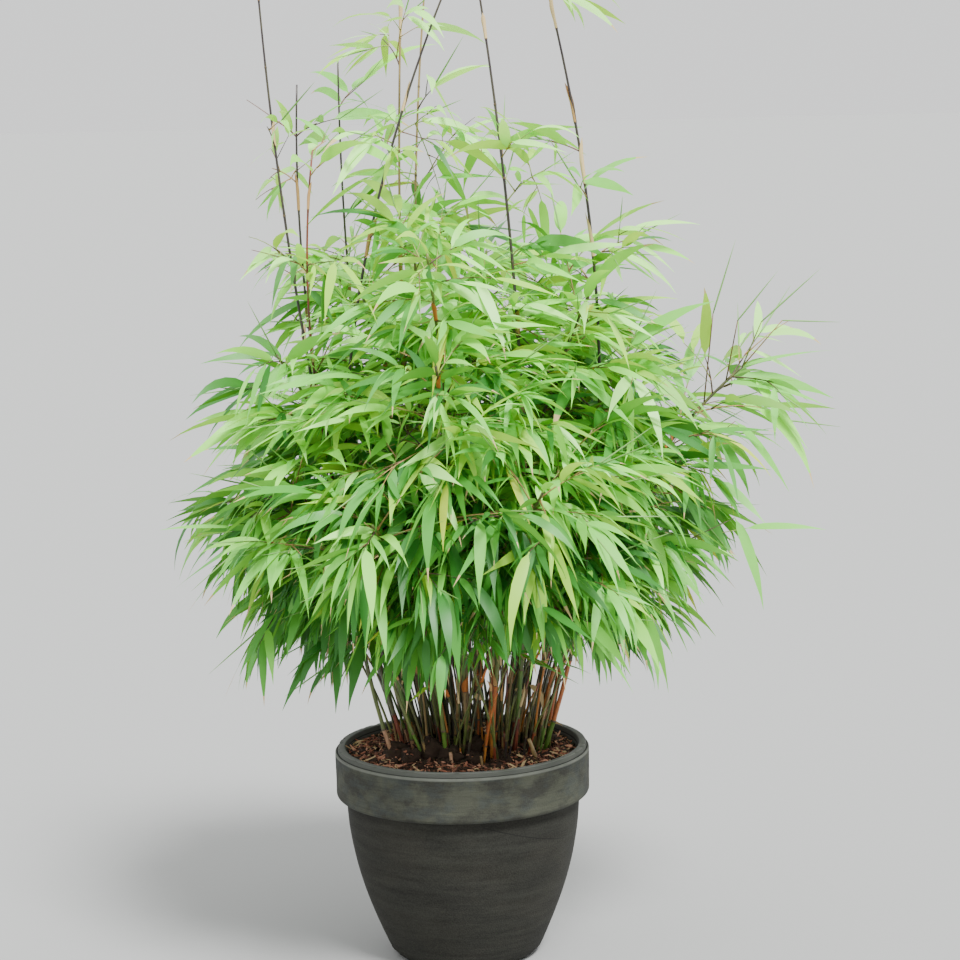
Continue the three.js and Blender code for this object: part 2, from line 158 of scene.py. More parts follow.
# The dome of leaves: how far it reaches from its axis at each height, and where its leaves hang.
CROWN_AXIS = np.array([8.0, 0.0])
CROWN_HEIGHTS = (290, 350, 405, 460, 515, 570, 625, 680, 735, 790, 850, 930)
CROWN_REACH = (100, 172, 248, 304, 328, 314, 280, 240, 200, 160, 116, 70)
HANG_TOP = 650
HANG_DEPTH = 330
SHOOT_HEIGHTS = (690, 950)
SHOOTS = 5
STRAY_REACH = 125
SPRAY_LEFT = -226

# The thin culms among the others: some leafy, some cut short, and bare canes, mostly at the back.
SLENDER_REACH = 88
LEAFY_SLENDER = 44
BARE_CANES = 130
CANES_BEHIND = 0.7
SHORT_LENGTHS = (70, 150)
SLENDER_LENGTHS = (200, 350)
CANE_ADDS = (20, 130)
SLENDER_RADII = (0.9, 1.8)
SLENDER_TIP_RADIUS = 0.7
SLENDER_SPACING = 4.6
CANE_SPACING = 3.6

# The gaps between the nodes of a culm, and where the leaves' tones turn from deep to pale.
TALL_NODE_GAPS = (62, 96)
LEAFY_NODE_GAPS = (42, 84)
# Leaf tones are deep low in the crown for painted shade and pale near its top for painted light.
TONE_FOOT = 385
TONE_RISE = 310
YELLOW_FOOT = 420
YELLOW_RISE = 300

# The soil: where dark peat shows, and how its edge dips at the wall of the pot.
PEAT_PATCH = dict(x=-8, y=-22, wide=72, deep=66)
SOIL_DIP = dict(start=116, over=12, depth=2)

# What lies on the soil or hangs low over it: clods by place and radius, stubs by foot, tip and radius
# with heights above the soil, husks and a leaf by root, aim, length and width as a share of it. The
# free leaves at the right come last, each with the foot of its twig before its root.
CLODS = ((-72, -42, 13), (-56, -62, 11), (-34, -52, 14), (-12, -62, 12), (14, -64, 10),
         (-52, -12, 12), (44, -54, 10), (10, -36, 12), (72, 18, 11), (92, 32, 12), (40, 30, 12),
         (-10, 26, 13), (-44, 34, 12))
CLOD_CRUMBS = 5
CLOD_CHIPS = 16
BARK_CHIPS = 3600
TAN_STUB, PINK_STUB, RED_STUB = 8, 9, 7
STUBS = (((83, -58, -3), (74, -60, 26), 2.2, TAN_STUB), ((-12, -78, -3), (-12, -77, 17), 2.0, PINK_STUB),
         ((22, -82, -3), (21, -81, 13), 1.4, TAN_STUB), ((-8, -25, 46), (14, -35, 30), 1.3, TAN_STUB),
         ((-40, -30, -3), (-44, -30, 22), 2.0, TAN_STUB), ((50, -40, -3), (46, -42, 30), 2.4, RED_STUB),
         ((84, 8, -3), (76, 4, 40), 1.6, TAN_STUB), ((-62, 12, -3), (-70, 14, 26), 1.7, PINK_STUB))
HUSKS = (((76, -22, 309), (0.85, -0.2, -0.4), 37, 0.2), ((14, -40, 302), (0.9, -0.4, 0.1), 15, 0.4),
         ((80, -14, 300), (0.35, -0.3, -0.9), 26, 0.16), ((60, -20, 303), (0.9, -0.2, 0.1), 18, 0.3),
         ((96, -10, 262), (0.5, -0.6, 0.5), 22, 0.2), ((-62, 6, 262), (-0.5, -0.6, 0.4), 24, 0.26),
         ((-80, -18, 252), (-0.4, -0.6, 0.6), 22, 0.22))
LOW_LEAF = ((-34, -58, 318), (-0.85, -0.3, -0.45), 29, 0.26)
FILAMENTS = 12
FREE_LEAVES = (((238, -66, 470), (302, -70, 500), (0.35, -0.1, -0.75), 106, 0.15),
               ((246, -30, 470), (318, -34, 482), (0.97, -0.1, 0.12), 88, 0.12),
               ((258, -20, 560), (308, -26, 600), (0.55, -0.1, -0.55), 98, 0.13))

# Long rolled leaves on the branch at the right: the place along its culm, the root and the tip.
LONG_ROLLED = ((0.88, (287, 0, 716), (312, -8, 798)), (0.95, (314, 0, 708), (358, -6, 762)),
               (1.0, (340, 0, 706), (405, -6, 764)), (1.0, (363, 0, 707), (426, -4, 704)))

# The studio, in metres: its light, its floor, and the view of the photo.
FLOOR_LIGHT = 1.25
DOME_LIGHT = 2.7
KEY_LIGHT = 8.6
KEY_SPREAD = 17
KEY_DIRECTION = (-0.34, 0.58, -1.0)
FLOOR_REACH = 60
VIEW_PITCH = 8.5
VIEW_ROLL = 1.3
VIEW_AIM = (0.027, 0, 0.5373)
VIEW_DISTANCE = 2.955
SENSOR_WIDTH = 36
HALF_VIEW = 0.18


# Numbers and colours

def seeded_random(seed):
    """Repeatable random numbers from 0 to 1, the same ones that the solids grow from."""
    mask = 0xFFFFFFFF
    state = seed & mask

    def draw():
        nonlocal state
        state = (state + 0x6D2B79F5) & mask
        mixed = ((state ^ (state >> 15)) * (state | 1)) & mask
        mixed ^= (mixed + (mixed ^ (mixed >> 7)) * (mixed | 61)) & mask
        return (mixed ^ (mixed >> 14)) / 4294967296

    return draw


def draw_for(kind, index=0):
    """The run of random numbers of one kind of growth."""
    return seeded_random(SEED + SEEDS[kind] + index)


def between(draw, low, high):
    return low + (high - low) * draw()


def one_of(choices, draw):
    return choices[int(draw() * len(choices))]


def unit(vector):
    return vector / np.linalg.norm(vector)


def srgb(code):
    """Linear colour of an sRGB hex value."""
    parts = [int(code[i:i + 2], 16) / 255 for i in (1, 3, 5)]
    linear = [p / 12.92 if p <= 0.04045 else ((p + 0.055) / 1.055) ** 2.4 for p in parts]
    return (*linear, 1.0)


# Paths, in millimetres

def arch_path(foot, azimuth, length, lean_foot, lean_tip):
    """An arching culm: its lean grows evenly from the foot to the tip."""
    outward = np.array([math.cos(azimuth), math.sin(azimuth), 0.0])
    path = [np.array(foot, float)]
    for step in range(PATH_STEPS):
        lean = lean_foot + (lean_tip - lean_foot) * (step + 0.5) / PATH_STEPS
        path.append(path[-1] + (outward * math.sin(lean) + UP * math.cos(lean)) * length / PATH_STEPS)
    return np.array(path)


def bent_path(foot, bend, tip):
    t = np.linspace(0, 1, PATH_STEPS + 1)[:, None]
    foot, bend, tip = (np.array(p, float) for p in (foot, bend, tip))
    return (1 - t) ** 2 * foot + 2 * t * (1 - t) * bend + t ** 2 * tip


def point_at(path, share):
    place = min(max(share, 0), 1) * (len(path) - 1)
    step = min(int(place), len(path) - 2)
    return path[step] + (path[step + 1] - path[step]) * (place - step)


def direction_at(path, share):
    reach = 0.5 / (len(path) - 1)
    return unit(point_at(path, share + reach) - point_at(path, share - reach))


def path_length(path):
    return float(np.linalg.norm(np.diff(path, axis=0), axis=1).sum())


def side_of(path):
    side = np.cross(UP, path[-1] - path[0])
    return unit(side) if side @ side > 1 else np.array([1.0, 0.0, 0.0])


def distance_to_paths(points, starts, ends):
    """How far each point lies from the nearest of many straight steps."""
    run = ends - starts
    share = np.einsum("pse,se->ps", points[:, None] - starts[None], run) / np.einsum("se,se->s", run, run)
    nearest = starts[None] + np.clip(share, 0, 1)[..., None] * run[None]
    return np.linalg.norm(points[:, None] - nearest, axis=2)


# The culms stand where the solids have them

def leafy_culm(ring, turn, draw):
    azimuth = math.radians(turn + between(draw, -TURN_VARIES, TURN_VARIES))
    spread = between(draw, *SPREAD_RANGE)
    foot = CLUMP + np.array([math.cos(azimuth), math.sin(azimuth) * CLUMP_DEPTH, 0]) * ring["foot"] * spread
    length = ring["length"] * between(draw, *LENGTH_RANGE)
    lean = math.radians(ring["lean_tip"] * between(draw, *LEAN_RANGE))
    path = arch_path(foot, azimuth, length, math.radians(ring["lean_foot"]), lean)
    bare = ring["bare"] * between(draw, *LENGTH_RANGE)
    return dict(path=path, bare=bare, radius=LEAFY_FOOT_RADIUS, tip_radius=LEAFY_TIP_RADIUS)


def clearance(path, others):
    """How far a path keeps from the nearest of the culms that stand already."""
    starts = np.concatenate([culm["path"][:-1] for culm in others])
    ends = np.concatenate([culm["path"][1:] for culm in others])
    return distance_to_paths(path, starts, ends).min()


def standing_culms():
    """The tall culms, then the leafy ones, each placed again until it is clear of the others."""
    standing = []
    for foot, bend, tip, radius in TALL:
        path = bent_path((*foot, CLUMP[2]), bend, tip)
        standing.append(dict(path=path, bare=1, radius=radius, tip_radius=TALL_TIP_RADIUS))
    draw = seeded_random(SEED)
    for ring in RINGS:
        for i in range(ring["count"]):
            turn = ring["turn"] + 360 * i / ring["count"]
            culm = leafy_culm(ring, turn, draw)
            while clearance(culm["path"], standing) <= CULM_SPACING:
                culm = leafy_culm(ring, turn, draw)
            standing.append(culm)
    return standing


culms = standing_culms()


def radius_at(culm, share):
    return culm["radius"] + (culm["tip_radius"] - culm["radius"]) * share


# Meshes: small parts are gathered in millimetres and joined into one piece of one kind

class Gathered:
    """Corners and faces of many small parts of one piece, each face with its finish."""

    def __init__(self):
        self.corners = []
        self.faces = []
        self.finishes = []
        self.count = 0

    def add(self, corners, faces, finish):
        """finish is one index for the part, or a list with one for each face."""
        self.corners.append(np.asarray(corners, float).reshape(-1, 3))
        self.faces += [[self.count + i for i in face] for face in faces]
        self.finishes += finish if isinstance(finish, list) else [finish] * len(faces)
        self.count += len(self.corners[-1])

    def make(self, name, materials, slot, replaced, smooth=True):
        mesh = bpy.data.meshes.new(name)
        mesh.from_pydata(np.concatenate(self.corners) * MM, [], self.faces)
        for material in materials:
            mesh.materials.append(material)
        mesh.polygons.foreach_set("material_index", self.finishes)
        mesh.polygons.foreach_set("use_smooth", [smooth] * len(self.faces))
        mesh.update()
        piece = bpy.data.objects.new(name, mesh)
        bpy.context.scene.collection.objects.link(piece)
        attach(piece, "root")
        if replaced:
            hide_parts(*replaced)
        return piece


def frames_along(points):
    """A direction, a side and a face at each point of a path, without needless twist."""
    ahead = np.gradient(points, axis=0)
    ahead /= np.linalg.norm(ahead, axis=1)[:, None]
    side = np.cross(ahead[0], UP if abs(ahead[0][2]) < 0.9 else np.array([0.0, 1.0, 0.0]))
    sides = []
    for direction in ahead:
        side = unit(side - direction * (side @ direction))
        sides.append(side)
    sides = np.array(sides)
    return ahead, sides, np.cross(ahead, sides)


def grid_faces(rows, columns, closed):
    """Quads of a grid of corners, joined round at its last column where it is closed."""
    last = columns if closed else columns - 1
    return [(r * columns + c, r * columns + (c + 1) % columns,
             (r + 1) * columns + (c + 1) % columns, (r + 1) * columns + c)
            for r in range(rows - 1) for c in range(last)]


def closed_faces(rows, columns):
    """Quads of rings of corners, with a face over the first ring and one over the last."""
    last = (rows - 1) * columns
    first_ring = tuple(range(columns))[::-1]
    return grid_faces(rows, columns, True) + [first_ring, tuple(range(last, last + columns))]


def tube(points, radii, sides):
    """A round limb along a path, closed at both ends."""
    points = np.asarray(points, float)
    _, across, around = frames_along(points)
    turn = np.linspace(0, 2 * math.pi, sides, endpoint=False)
    rings = across[:, None] * np.cos(turn)[None, :, None] + around[:, None] * np.sin(turn)[None, :, None]
    corners = points[:, None] + rings * np.asarray(radii, float)[:, None, None]
    return corners, closed_faces(len(points), sides)


# Culms with their nodes: a groove, a swollen ring and a slight waist above it

NODE_SHAPE = [(-5, 1.0), (-2.2, 1.04), (-0.9, 1.2), (0.3, 1.26), (1.2, 1.0), (2.0, 1.12), (3.4, 1.05),
              (6, 0.99)]
WAIST = 0.985
RING_REACH = 1.3


def culm_stations(path, radius, tip_radius, start, stop, gaps, draw):
    """Places along a culm with their radii, and the places of its nodes."""
    length = path_length(path) * (stop - start)
    nodes = []
    at = gaps[0] * between(draw, 0.4, 0.9)
    while at < length - 8:
        nodes.append(at)
        at += between(draw, *gaps)
    stations = {0.0: 1.0, length: 1.0}
    for node in nodes:
        for offset, swell in NODE_SHAPE:
            if 0 < node + offset < length:
                stations[node + offset] = swell
    for gap_start, gap_end in zip([0] + nodes, nodes + [length]):
        for share in (0.3, 0.5, 0.7):
            stations.setdefault(gap_start + (gap_end - gap_start) * share, WAIST)
    places = sorted(stations)
    shares = [start + (stop - start) * place / length for place in places]
    points = np.array([point_at(path, share) for share in shares])
    radii = [(radius + (tip_radius - radius) * share) * stations[place]
             for share, place in zip(shares, places)]
    return places, points, np.array(radii), nodes


def add_culm(gathered, culm, tones, gaps, sides, draw, start=0.0, stop=1.0):
    """Adds a culm, each stretch between two nodes in its own tone."""
    places, points, radii, nodes = culm_stations(
        culm["path"], culm["radius"], culm["tip_radius"], start, stop, gaps, draw)
    corners, faces = tube(points, radii, sides)
    finish = []
    for row in range(len(places) - 1):
        middle = (places[row] + places[row + 1]) / 2
        stretch = sum(middle > node for node in nodes)
        near = min([abs(middle - node) for node in nodes], default=99)
        tone = tones[min(stretch, len(tones) - 1)]
        finish += [tone if near > RING_REACH else NODE_TONE] * sides
    finish += [tones[0], tones[-1]]
    gathered.add(corners, faces, finish)
    total = path_length(culm["path"])
    return [start + node / total for node in nodes]


def add_sheath(gathered, path, share, radius, length, finish, draw, splay):
    """A papery husk: it wraps a culm above a node, splits and ends in a loose point."""
    rows = 7
    columns = 6
    total = path_length(path)
    length = min(length, (0.98 - share) * total)
    if length < 8:
        return
    turn = between(draw, 0, 2 * math.pi)
    points = np.array([point_at(path, share + length * r / (rows - 1) / total) for r in range(rows)])
    _, across, around = frames_along(points)
    corners = []
    for row in range(rows):
        up = row / (rows - 1)
        half = math.radians(165) * (1 - up ** 1.7) + 0.04
        loose = radius * (1.34 + 0.2 * up) + 0.1 + splay * 7 * up ** 3
        for column in range(columns):
            angle = turn + half * (2 * column / (columns - 1) - 1)
            out = across[row] * math.cos(angle) + around[row] * math.sin(angle)
            corners.append(points[row] + out * loose)
    gathered.add(corners, grid_faces(rows, columns, False), finish)


# Twigs, leaves and rolled young leaves, gathered as plans before they are made

Leaf = namedtuple("Leaf", "root aim length width droop roll twist sway tone chance", defaults=(0, 0.5))


class Growth:
    """What grows: limbs with their radii, leaves, rolled young leaves and bracts."""

    def __init__(self):
        self.limbs = []
        self.leaves = []
        self.rolled = []
        self.bracts = []


def heading_of(direction):
    flat = np.array([direction[0], direction[1], 0.0])
    size = np.linalg.norm(flat)
    return flat / size if size > 0.05 else np.array([0.0, -1.0, 0.0])


def sagging_path(root, aim, length, sag, steps):
    """A shoot that starts along aim and bends down under its leaves."""
    heading = heading_of(aim)
    rise = math.asin(max(-0.999, min(0.999, aim[2])))
    points = [root]
    for step in range(steps):
        angle = max(rise - sag * ((step + 0.5) / steps) ** 1.3, -STEEPEST_SHOOT)
        points.append(points[-1] + (heading * math.cos(angle) + UP * math.sin(angle)) * length / steps)
    return np.array(points)


def leaf_line(root, aim, length, droop):
    """A few points down the middle of a leaf."""
    return sagging_path(root, aim, length, droop, 5)


def stays_clear(points, room):
    """Whether a shoot stays within the plant's reach and off its bare culms."""
    low, high = room["low"], room["high"]
    if (points < low).any() or (points > high).any():
        return False
    in_front = np.exp(-((points[:, 0] - OPEN_FRONT["x"]) / OPEN_FRONT["wide"]) ** 2) * (points[:, 1] < 30)
    if (points[:, 2] < LOWEST_LEAF + OPEN_FRONT["raised"] * in_front).any():
        return False
    distances = distance_to_paths(points, room["starts"], room["ends"])
    return bool((distances > room["radii"][None] + 2.0).all())


def hang_at(height):
    """How much the leaves hang: hardly at the top of the dome, fully at its foot."""
    return min(max((HANG_TOP - height) / HANG_DEPTH, 0), 1)


def outward_at(place):
    away = np.array([*(place[:2] - CROWN_AXIS), 0.0])
    return away / max(np.linalg.norm(away), 60)


def room_ahead(root, aim):
    """How far a branch can run along its aim before it leaves the dome."""
    runs = np.arange(20.0, 260.0, 10.0)
    places = root + aim * runs[:, None]
    out = np.hypot(*(places[:, :2] - CROWN_AXIS).T)
    inside = out < np.interp(places[:, 2], CROWN_HEIGHTS, CROWN_REACH)
    return runs[-1] if inside.all() else runs[inside.argmin()]


def leafy_end(path, growth, room, draw, scale, tone, count, rolled=0.36):
    """Leaves stand by turns on both sides of the last stretch of a twig, and one ends it."""
    length = path_length(path)
    hang = hang_at(path[-1][2])
    tilt = between(draw, -0.8, 0.8)
    back = 0.0
    for i in range(count):
        share = 0.99 - back / length
        back += between(draw, *LEAF_GAPS) * scale
        if share < 0.15:
            break
        ahead = direction_at(path, share)
        root = point_at(path, share)
        side = unit(np.cross(UP, ahead)) if abs(ahead[2]) < 0.97 else np.array([1.0, 0.0, 0.0])
        side = side * math.cos(tilt) + np.cross(ahead, side) * math.sin(tilt)
        hand = 1 if (i + tone) % 2 else -1
        spread = hand * (between(draw, *LEAF_SPREAD) + 0.1 * i) if i else between(draw, -0.25, 0.25)
        aim = ahead * math.cos(spread) + side * math.sin(spread) + outward_at(root) * 0.3
        aim = unit(aim + UP * (between(draw, *LEAF_LIFT) - 0.6 * hang))
        size = scale * LEAF_LENGTH * (LEAF_SHORTEST + LEAF_VARIES * draw())
        droop = between(draw, *LEAF_DROOP) + 0.15 * hang + 0.7 * max(aim[2], 0)
        roll = between(draw, -1.15, 1.15)
        twist = between(draw, -0.6, 0.6)
        width = LEAF_WIDTH * between(draw, 0.84, 1.16)
        sway = between(draw, -0.3, 0.3)
        chance = draw()
        if stays_clear(leaf_line(root + aim * LEAF_STALK, aim, size, droop), room):
            growth.leaves.append(Leaf(root, aim, size, width, droop, roll, twist, sway, tone, chance))
    if draw() < rolled:
        aim = unit(direction_at(path, 1) + UP * between(draw, -0.05, 0.4))
        size = between(draw, *ROLLED_LENGTHS) * scale
        root = path[-1]
        if stays_clear(np.array([root + aim * LEAF_STALK, root + aim * size]), room):
            growth.rolled.append((root, aim, size))


def grow_branch(root, aim, length, growth, room, draw, scale, tone):
    """One branch, its twigs by turns on both sides, and the leaves at every end."""
    hang = hang_at(root[2])
    path = sagging_path(root, aim, length, between(draw, 0.05, 0.5) + 0.5 * hang, 6)
    if not stays_clear(path[2:], room):
        return False
    growth.limbs.append((path, 0.95 * scale, 0.45 * scale))
    leafy_end(path, growth, room, draw, scale, tone, 3 + int(draw() * 2))
    twigs = max(1, round(length / TWIG_SPACING * between(draw, 0.7, 1.3)))
    hand = 1 if draw() < 0.5 else -1
    for i in range(twigs):
        share = 0.2 + 0.68 * (i + between(draw, 0.1, 0.9)) / twigs
        foot = point_at(path, share)
        ahead = direction_at(path, share)
        side = unit(np.cross(UP, ahead)) * hand
        hand = -hand
        turned_aside = unit(ahead + side * between(draw, 0.45, 1.0) + UP * between(draw, -0.25, 0.4))
        reach = scale * TWIG_LENGTH * between(draw, 0.45, 1.25)
        twig = sagging_path(foot, turned_aside, reach, between(draw, 0, 0.4) + 0.3 * hang, 4)
        if stays_clear(twig[2:], room):
            growth.limbs.append((twig, 0.7 * scale, 0.38 * scale))
            growth.bracts.append((foot, turned_aside, between(draw, 7, 13) * scale))
            leafy_end(twig, growth, room, draw, scale, tone, 2 + int(draw() * 2.2))
    return True


def grow_mass(path, start, growth, room, draw, spacing, scale, stray=False):
    """Branches at the nodes of a culm's leafy part, turning round it as they go up."""
    length = path_length(path) * (1 - start)
    count = max(2, round(length / spacing))
    turn = between(draw, 0, 2 * math.pi)
    across = side_of(path)
    for node in range(count):
        share = start + (1 - start) * (node + 0.4) / count
        root = point_at(path, share)
        along = direction_at(path, share)
        around = np.cross(along, across)
        for _ in range(2 if draw() < 0.6 else 1):
            turn += 2.4 + between(draw, -0.5, 0.5)
            for _ in range(6):
                aim = along * between(draw, 0.2, 0.8) + across * math.cos(turn) + around * math.sin(turn)
                if stray:
                    aim = aim + (UP + outward_at(root)) * 0.45
                aim = unit(aim)
                ahead = STRAY_REACH if stray else room_ahead(root, aim)
                reach = (ahead - 0.6 * LEAF_LENGTH) * between(draw, 0.5, 1.0) * scale
                reach = min(max(reach, BRANCH_LENGTHS[0] * scale), BRANCH_LENGTHS[1])
                tone = tone_at(root[2] + aim[2] * reach, draw)
                if grow_branch(root, aim, reach, growth, room, draw, scale, tone):
                    growth.bracts.append((root, aim, between(draw, 9, 16) * scale))
                    break
                turn += 0.9
    leafy_end(path[-4:], growth, room, draw, scale, tone_at(path[-1][2] + 60, draw), 4)


def grow_small_leaves(growth, room, draw):
    """Small young leaves along every branch and twig close the crown behind the large ones."""
    for path, _, _ in list(growth.limbs):
        stretch = path[:-1] if len(path) < 6 else path[:-2]
        tone = tone_at(stretch[-1][2] - 50, draw)
        leafy_end(stretch, growth, room, draw, SMALL_LEAF, tone, 3, 0)


def grow_side_shoots(culm, growth, room, draw, heights, count):
    """Thin shoots high on a tall culm, each with a few leaves that arch away from it."""
    levels = culm["path"][:, 2]
    for _ in range(count):
        share = float(np.interp(between(draw, *heights), levels, np.linspace(0, 1, len(levels))))
        root = point_at(culm["path"], share)
        turn = between(draw, 0, 2 * math.pi)
        aim = unit(np.array([math.cos(turn), math.sin(turn), between(draw, 0.2, 1.1)]))
        grow_branch(root, aim, between(draw, 18, 46), growth, room, draw, 1.0, tone_at(root[2] - 60, draw))


# Leaf blades: a round foot, the widest part near it, and a long drawn-out tip

BLADE = [(0, 0.1), (0.04, 0.14), (0.11, 0.74), (0.23, 0.99), (0.38, 1.0), (0.54, 0.84), (0.7, 0.53),
         (0.85, 0.21), (1, 0.015)]
HUSK = [(0, 0.7), (0.3, 1.0), (0.65, 0.6), (1, 0.03)]
ACROSS = (-1, 0, 1)
STEEPEST = 1.5
YELLOW_CHANCE = 0.008
PALER_CHANCE = 0.2
DRY_CHANCE = 0.8
VERY_DRY_CHANCE = 0.985


def blade_corners(leaves, blade=BLADE):
    """Corners of every blade at once: leaves, then rows along, then places across."""
    root = np.array([leaf.root for leaf in leaves])
    aim = np.array([leaf.aim for leaf in leaves])
    length, width, droop, roll, twist, sway = (np.array([leaf[k] for leaf in leaves]) for k in range(2, 8))
    heading = np.array([heading_of(direction) for direction in aim])
    turned = np.arctan2(heading[:, 1], heading[:, 0])
    rise = np.arcsin(np.clip(aim[:, 2], -0.999, 0.999))
    along = np.array([row[0] for row in blade])
    wide = np.array([row[1] for row in blade])
    angle = np.maximum(rise[:, None] - droop[:, None] * along[None] ** 1.25, -STEEPEST)
    bearing = turned[:, None] + sway[:, None] * along[None]
    ahead = np.stack([np.cos(bearing) * np.cos(angle), np.sin(bearing) * np.cos(angle), np.sin(angle)], 2)
    steps = np.diff(along, prepend=0)
    middle = root[:, None] + np.cumsum(ahead * (steps[None] * length[:, None])[..., None], axis=1)
    side = np.stack([-np.sin(bearing), np.cos(bearing), np.zeros_like(bearing)], 2)
    face = np.cross(ahead, side)
    rolled = (roll[:, None] + twist[:, None] * along[None])[..., None]
    side, face = (side * np.cos(rolled) + face * np.sin(rolled),
                  face * np.cos(rolled) - side * np.sin(rolled))
    half = (width * length / 2)[:, None] * wide[None]
    fold = (0.34 - 0.3 * along)[None]
    across = np.array(ACROSS)
    raised = fold[..., None] * np.abs(across) - 0.16 * across ** 2
    return (middle[:, :, None] + side[:, :, None] * (half[..., None] * across)[..., None]
            + face[:, :, None] * (half[..., None] * raised)[..., None])


def gather_leaves(leaves):
    """Blades in one piece. Some end in a dry tip, and each has the tone of its spray."""
    gathered = Gathered()
    rows, columns = len(BLADE), len(ACROSS)
    faces = grid_faces(rows, columns, False)
    for leaf, corners in zip(leaves, blade_corners(leaves)):
        tone = leaf.tone
        if leaf.chance < YELLOW_CHANCE:
            tone = YELLOWING
        elif leaf.chance < PALER_CHANCE:
            tone = (tone + 1) % TONES
        dry_rows = int(leaf.chance > DRY_CHANCE) + int(leaf.chance > VERY_DRY_CHANCE)
        fresh = (rows - 1 - dry_rows) * (columns - 1)
        gathered.add(corners, faces, [tone] * fresh + [DRY] * (len(faces) - fresh))
    return gathered


def slim_cone(root, aim, length, radius, sides=5):
    """A young leaf that is still rolled: a long needle on the line of its twig."""
    points = np.array([root + aim * length * share for share in (0, 0.12, 0.4, 0.72, 1)])
    radii = np.array([0.6, 1.0, 0.95, 0.6, 0.08]) * radius
    return tube(points, radii, sides)


# The pot: the same outline as its solid, with round edges, small chips and an uneven wall

def body_radius(height):
    swell = RIM_RADIUS - BAND_FLARE - BAND_STEP - FOOT_RADIUS
    return FOOT_RADIUS + swell * math.sin(math.pi / 2 * height / BAND_FOOT) ** SWELL_POWER


def hollow_radius(height):
    behind_band = max(0, height - BAND_FOOT) / BAND_DEPTH
    return body_radius(min(height, BAND_FOOT)) - WALL + behind_band * (BAND_STEP + BAND_FLARE)


def quarter(centre, radius, start, stop, steps):
    """Points of a rounded edge, between two angles in degrees."""
    angles = np.radians(np.linspace(start, stop, steps))
    return [(centre[0] + radius * math.cos(a), centre[1] + radius * math.sin(a)) for a in angles]


def pot_outline():
    foot = [(FOOT_RADIUS - FOOT_EDGE - 12, 0), (FOOT_RADIUS - FOOT_EDGE, 0)]
    foot += [(FOOT_RADIUS - FOOT_EDGE + 4, 0.8), (FOOT_RADIUS - 1, 3.2)]
    body = [(body_radius(h), h) for h in np.linspace(0.13, 1, 30) ** 1.5 * BAND_FOOT]
    band_foot = RIM_RADIUS - BAND_FLARE
    under = [(body_radius(BAND_FOOT) + 2, BAND_FOOT + 0.2), (band_foot - BAND_EDGE - 1, BAND_FOOT + 0.8)]
    edge = quarter((band_foot - BAND_EDGE, BAND_FOOT + BAND_EDGE + 0.9), BAND_EDGE, -80, 0, 7)
    top = POT_HEIGHT - SHOULDER_DROP - SHOULDER_RADIUS
    wall = [(band_foot + BAND_FLARE * t, BAND_FOOT + 8 + (top - BAND_FOOT - 9) * t)
            for t in np.linspace(0, 1, 12)]
    shoulder = quarter((RIM_RADIUS - SHOULDER_RADIUS, top), SHOULDER_RADIUS, 10, 85, 6)
    lip = [(RIM_RADIUS - back, POT_HEIGHT - down) for back, down in LIP]
    inner_centre = (hollow_radius(POT_HEIGHT) + INNER_EDGE, POT_HEIGHT - INNER_EDGE)
    inner = quarter(inner_centre, INNER_EDGE, 90, 180, 6)
    hollow = [(hollow_radius(h), h) for h in np.linspace(POT_HEIGHT - 6, BAND_FOOT + 8, 5)]
    return foot + body + under + edge + wall + shoulder + lip + inner + hollow


def make_pot(material):
    outline = pot_outline()
    draw = draw_for("rim_chips")
    chips = [(between(draw, 0, 2 * math.pi), between(draw, 0.012, 0.035), between(draw, 0.3, 1.3))
             for _ in range(RIM_CHIPS)]
    corners = []
    for radius, height in outline:
        for k in range(POT_SIDES):
            angle = 2 * math.pi * k / POT_SIDES
            x, y = math.cos(angle), math.sin(angle)
            uneven = noise.noise(Vector((x * 2.2, y * 2.2, height * 0.02)))
            uneven += 0.35 * noise.noise(Vector((x * 9, y * 9, height * 0.11)))
            r = radius - (0.35 + 0.35 * uneven)
            z = height
            if radius > RIM_RADIUS - 7 and height > POT_HEIGHT - 5:
                for place, wide, deep in chips:
                    off = abs((angle - place + math.pi) % (2 * math.pi) - math.pi)
                    bite = deep * max(0, 1 - (off / wide) ** 2)
                    r -= bite
                    z -= bite * 0.55
            corners.append((x * r, y * r, z))
    gathered = Gathered()
    gathered.add(corners, closed_faces(len(outline), POT_SIDES), 0)
    return gathered.make("clay_pot", [material], "clay_pot", ["pot"])


# The soil: dark peat under reddish bark chips, uneven, with crumbs, stubs and dry litter

def peat_share(x, y):
    """Where dark peat shows between the culms and in front of them, from 0 to 1."""
    across = (x - PEAT_PATCH["x"]) / PEAT_PATCH["wide"]
    along = (y - PEAT_PATCH["y"]) / PEAT_PATCH["deep"]
    return math.exp(-across ** 2 - along ** 2)


def soil_height(x, y):
    """Height of the soil: lumps of peat in the middle, level bark at the wall of the pot."""
    place = Vector((x * 0.02, y * 0.02, 3.0))
    peat = peat_share(x, y)
    lumps = (2.6 + 9 * peat) * noise.noise(place * 1.9) + (2.0 + 3.5 * peat) * noise.noise(place * 4.3)
    lumps += 1.2 * noise.noise(place * 12)
    dip = max(0.0, (math.hypot(x, y) - SOIL_DIP["start"]) / SOIL_DIP["over"]) ** 2 * SOIL_DIP["depth"]
    return SOIL_LEVEL + lumps + 9.0 * peat - dip


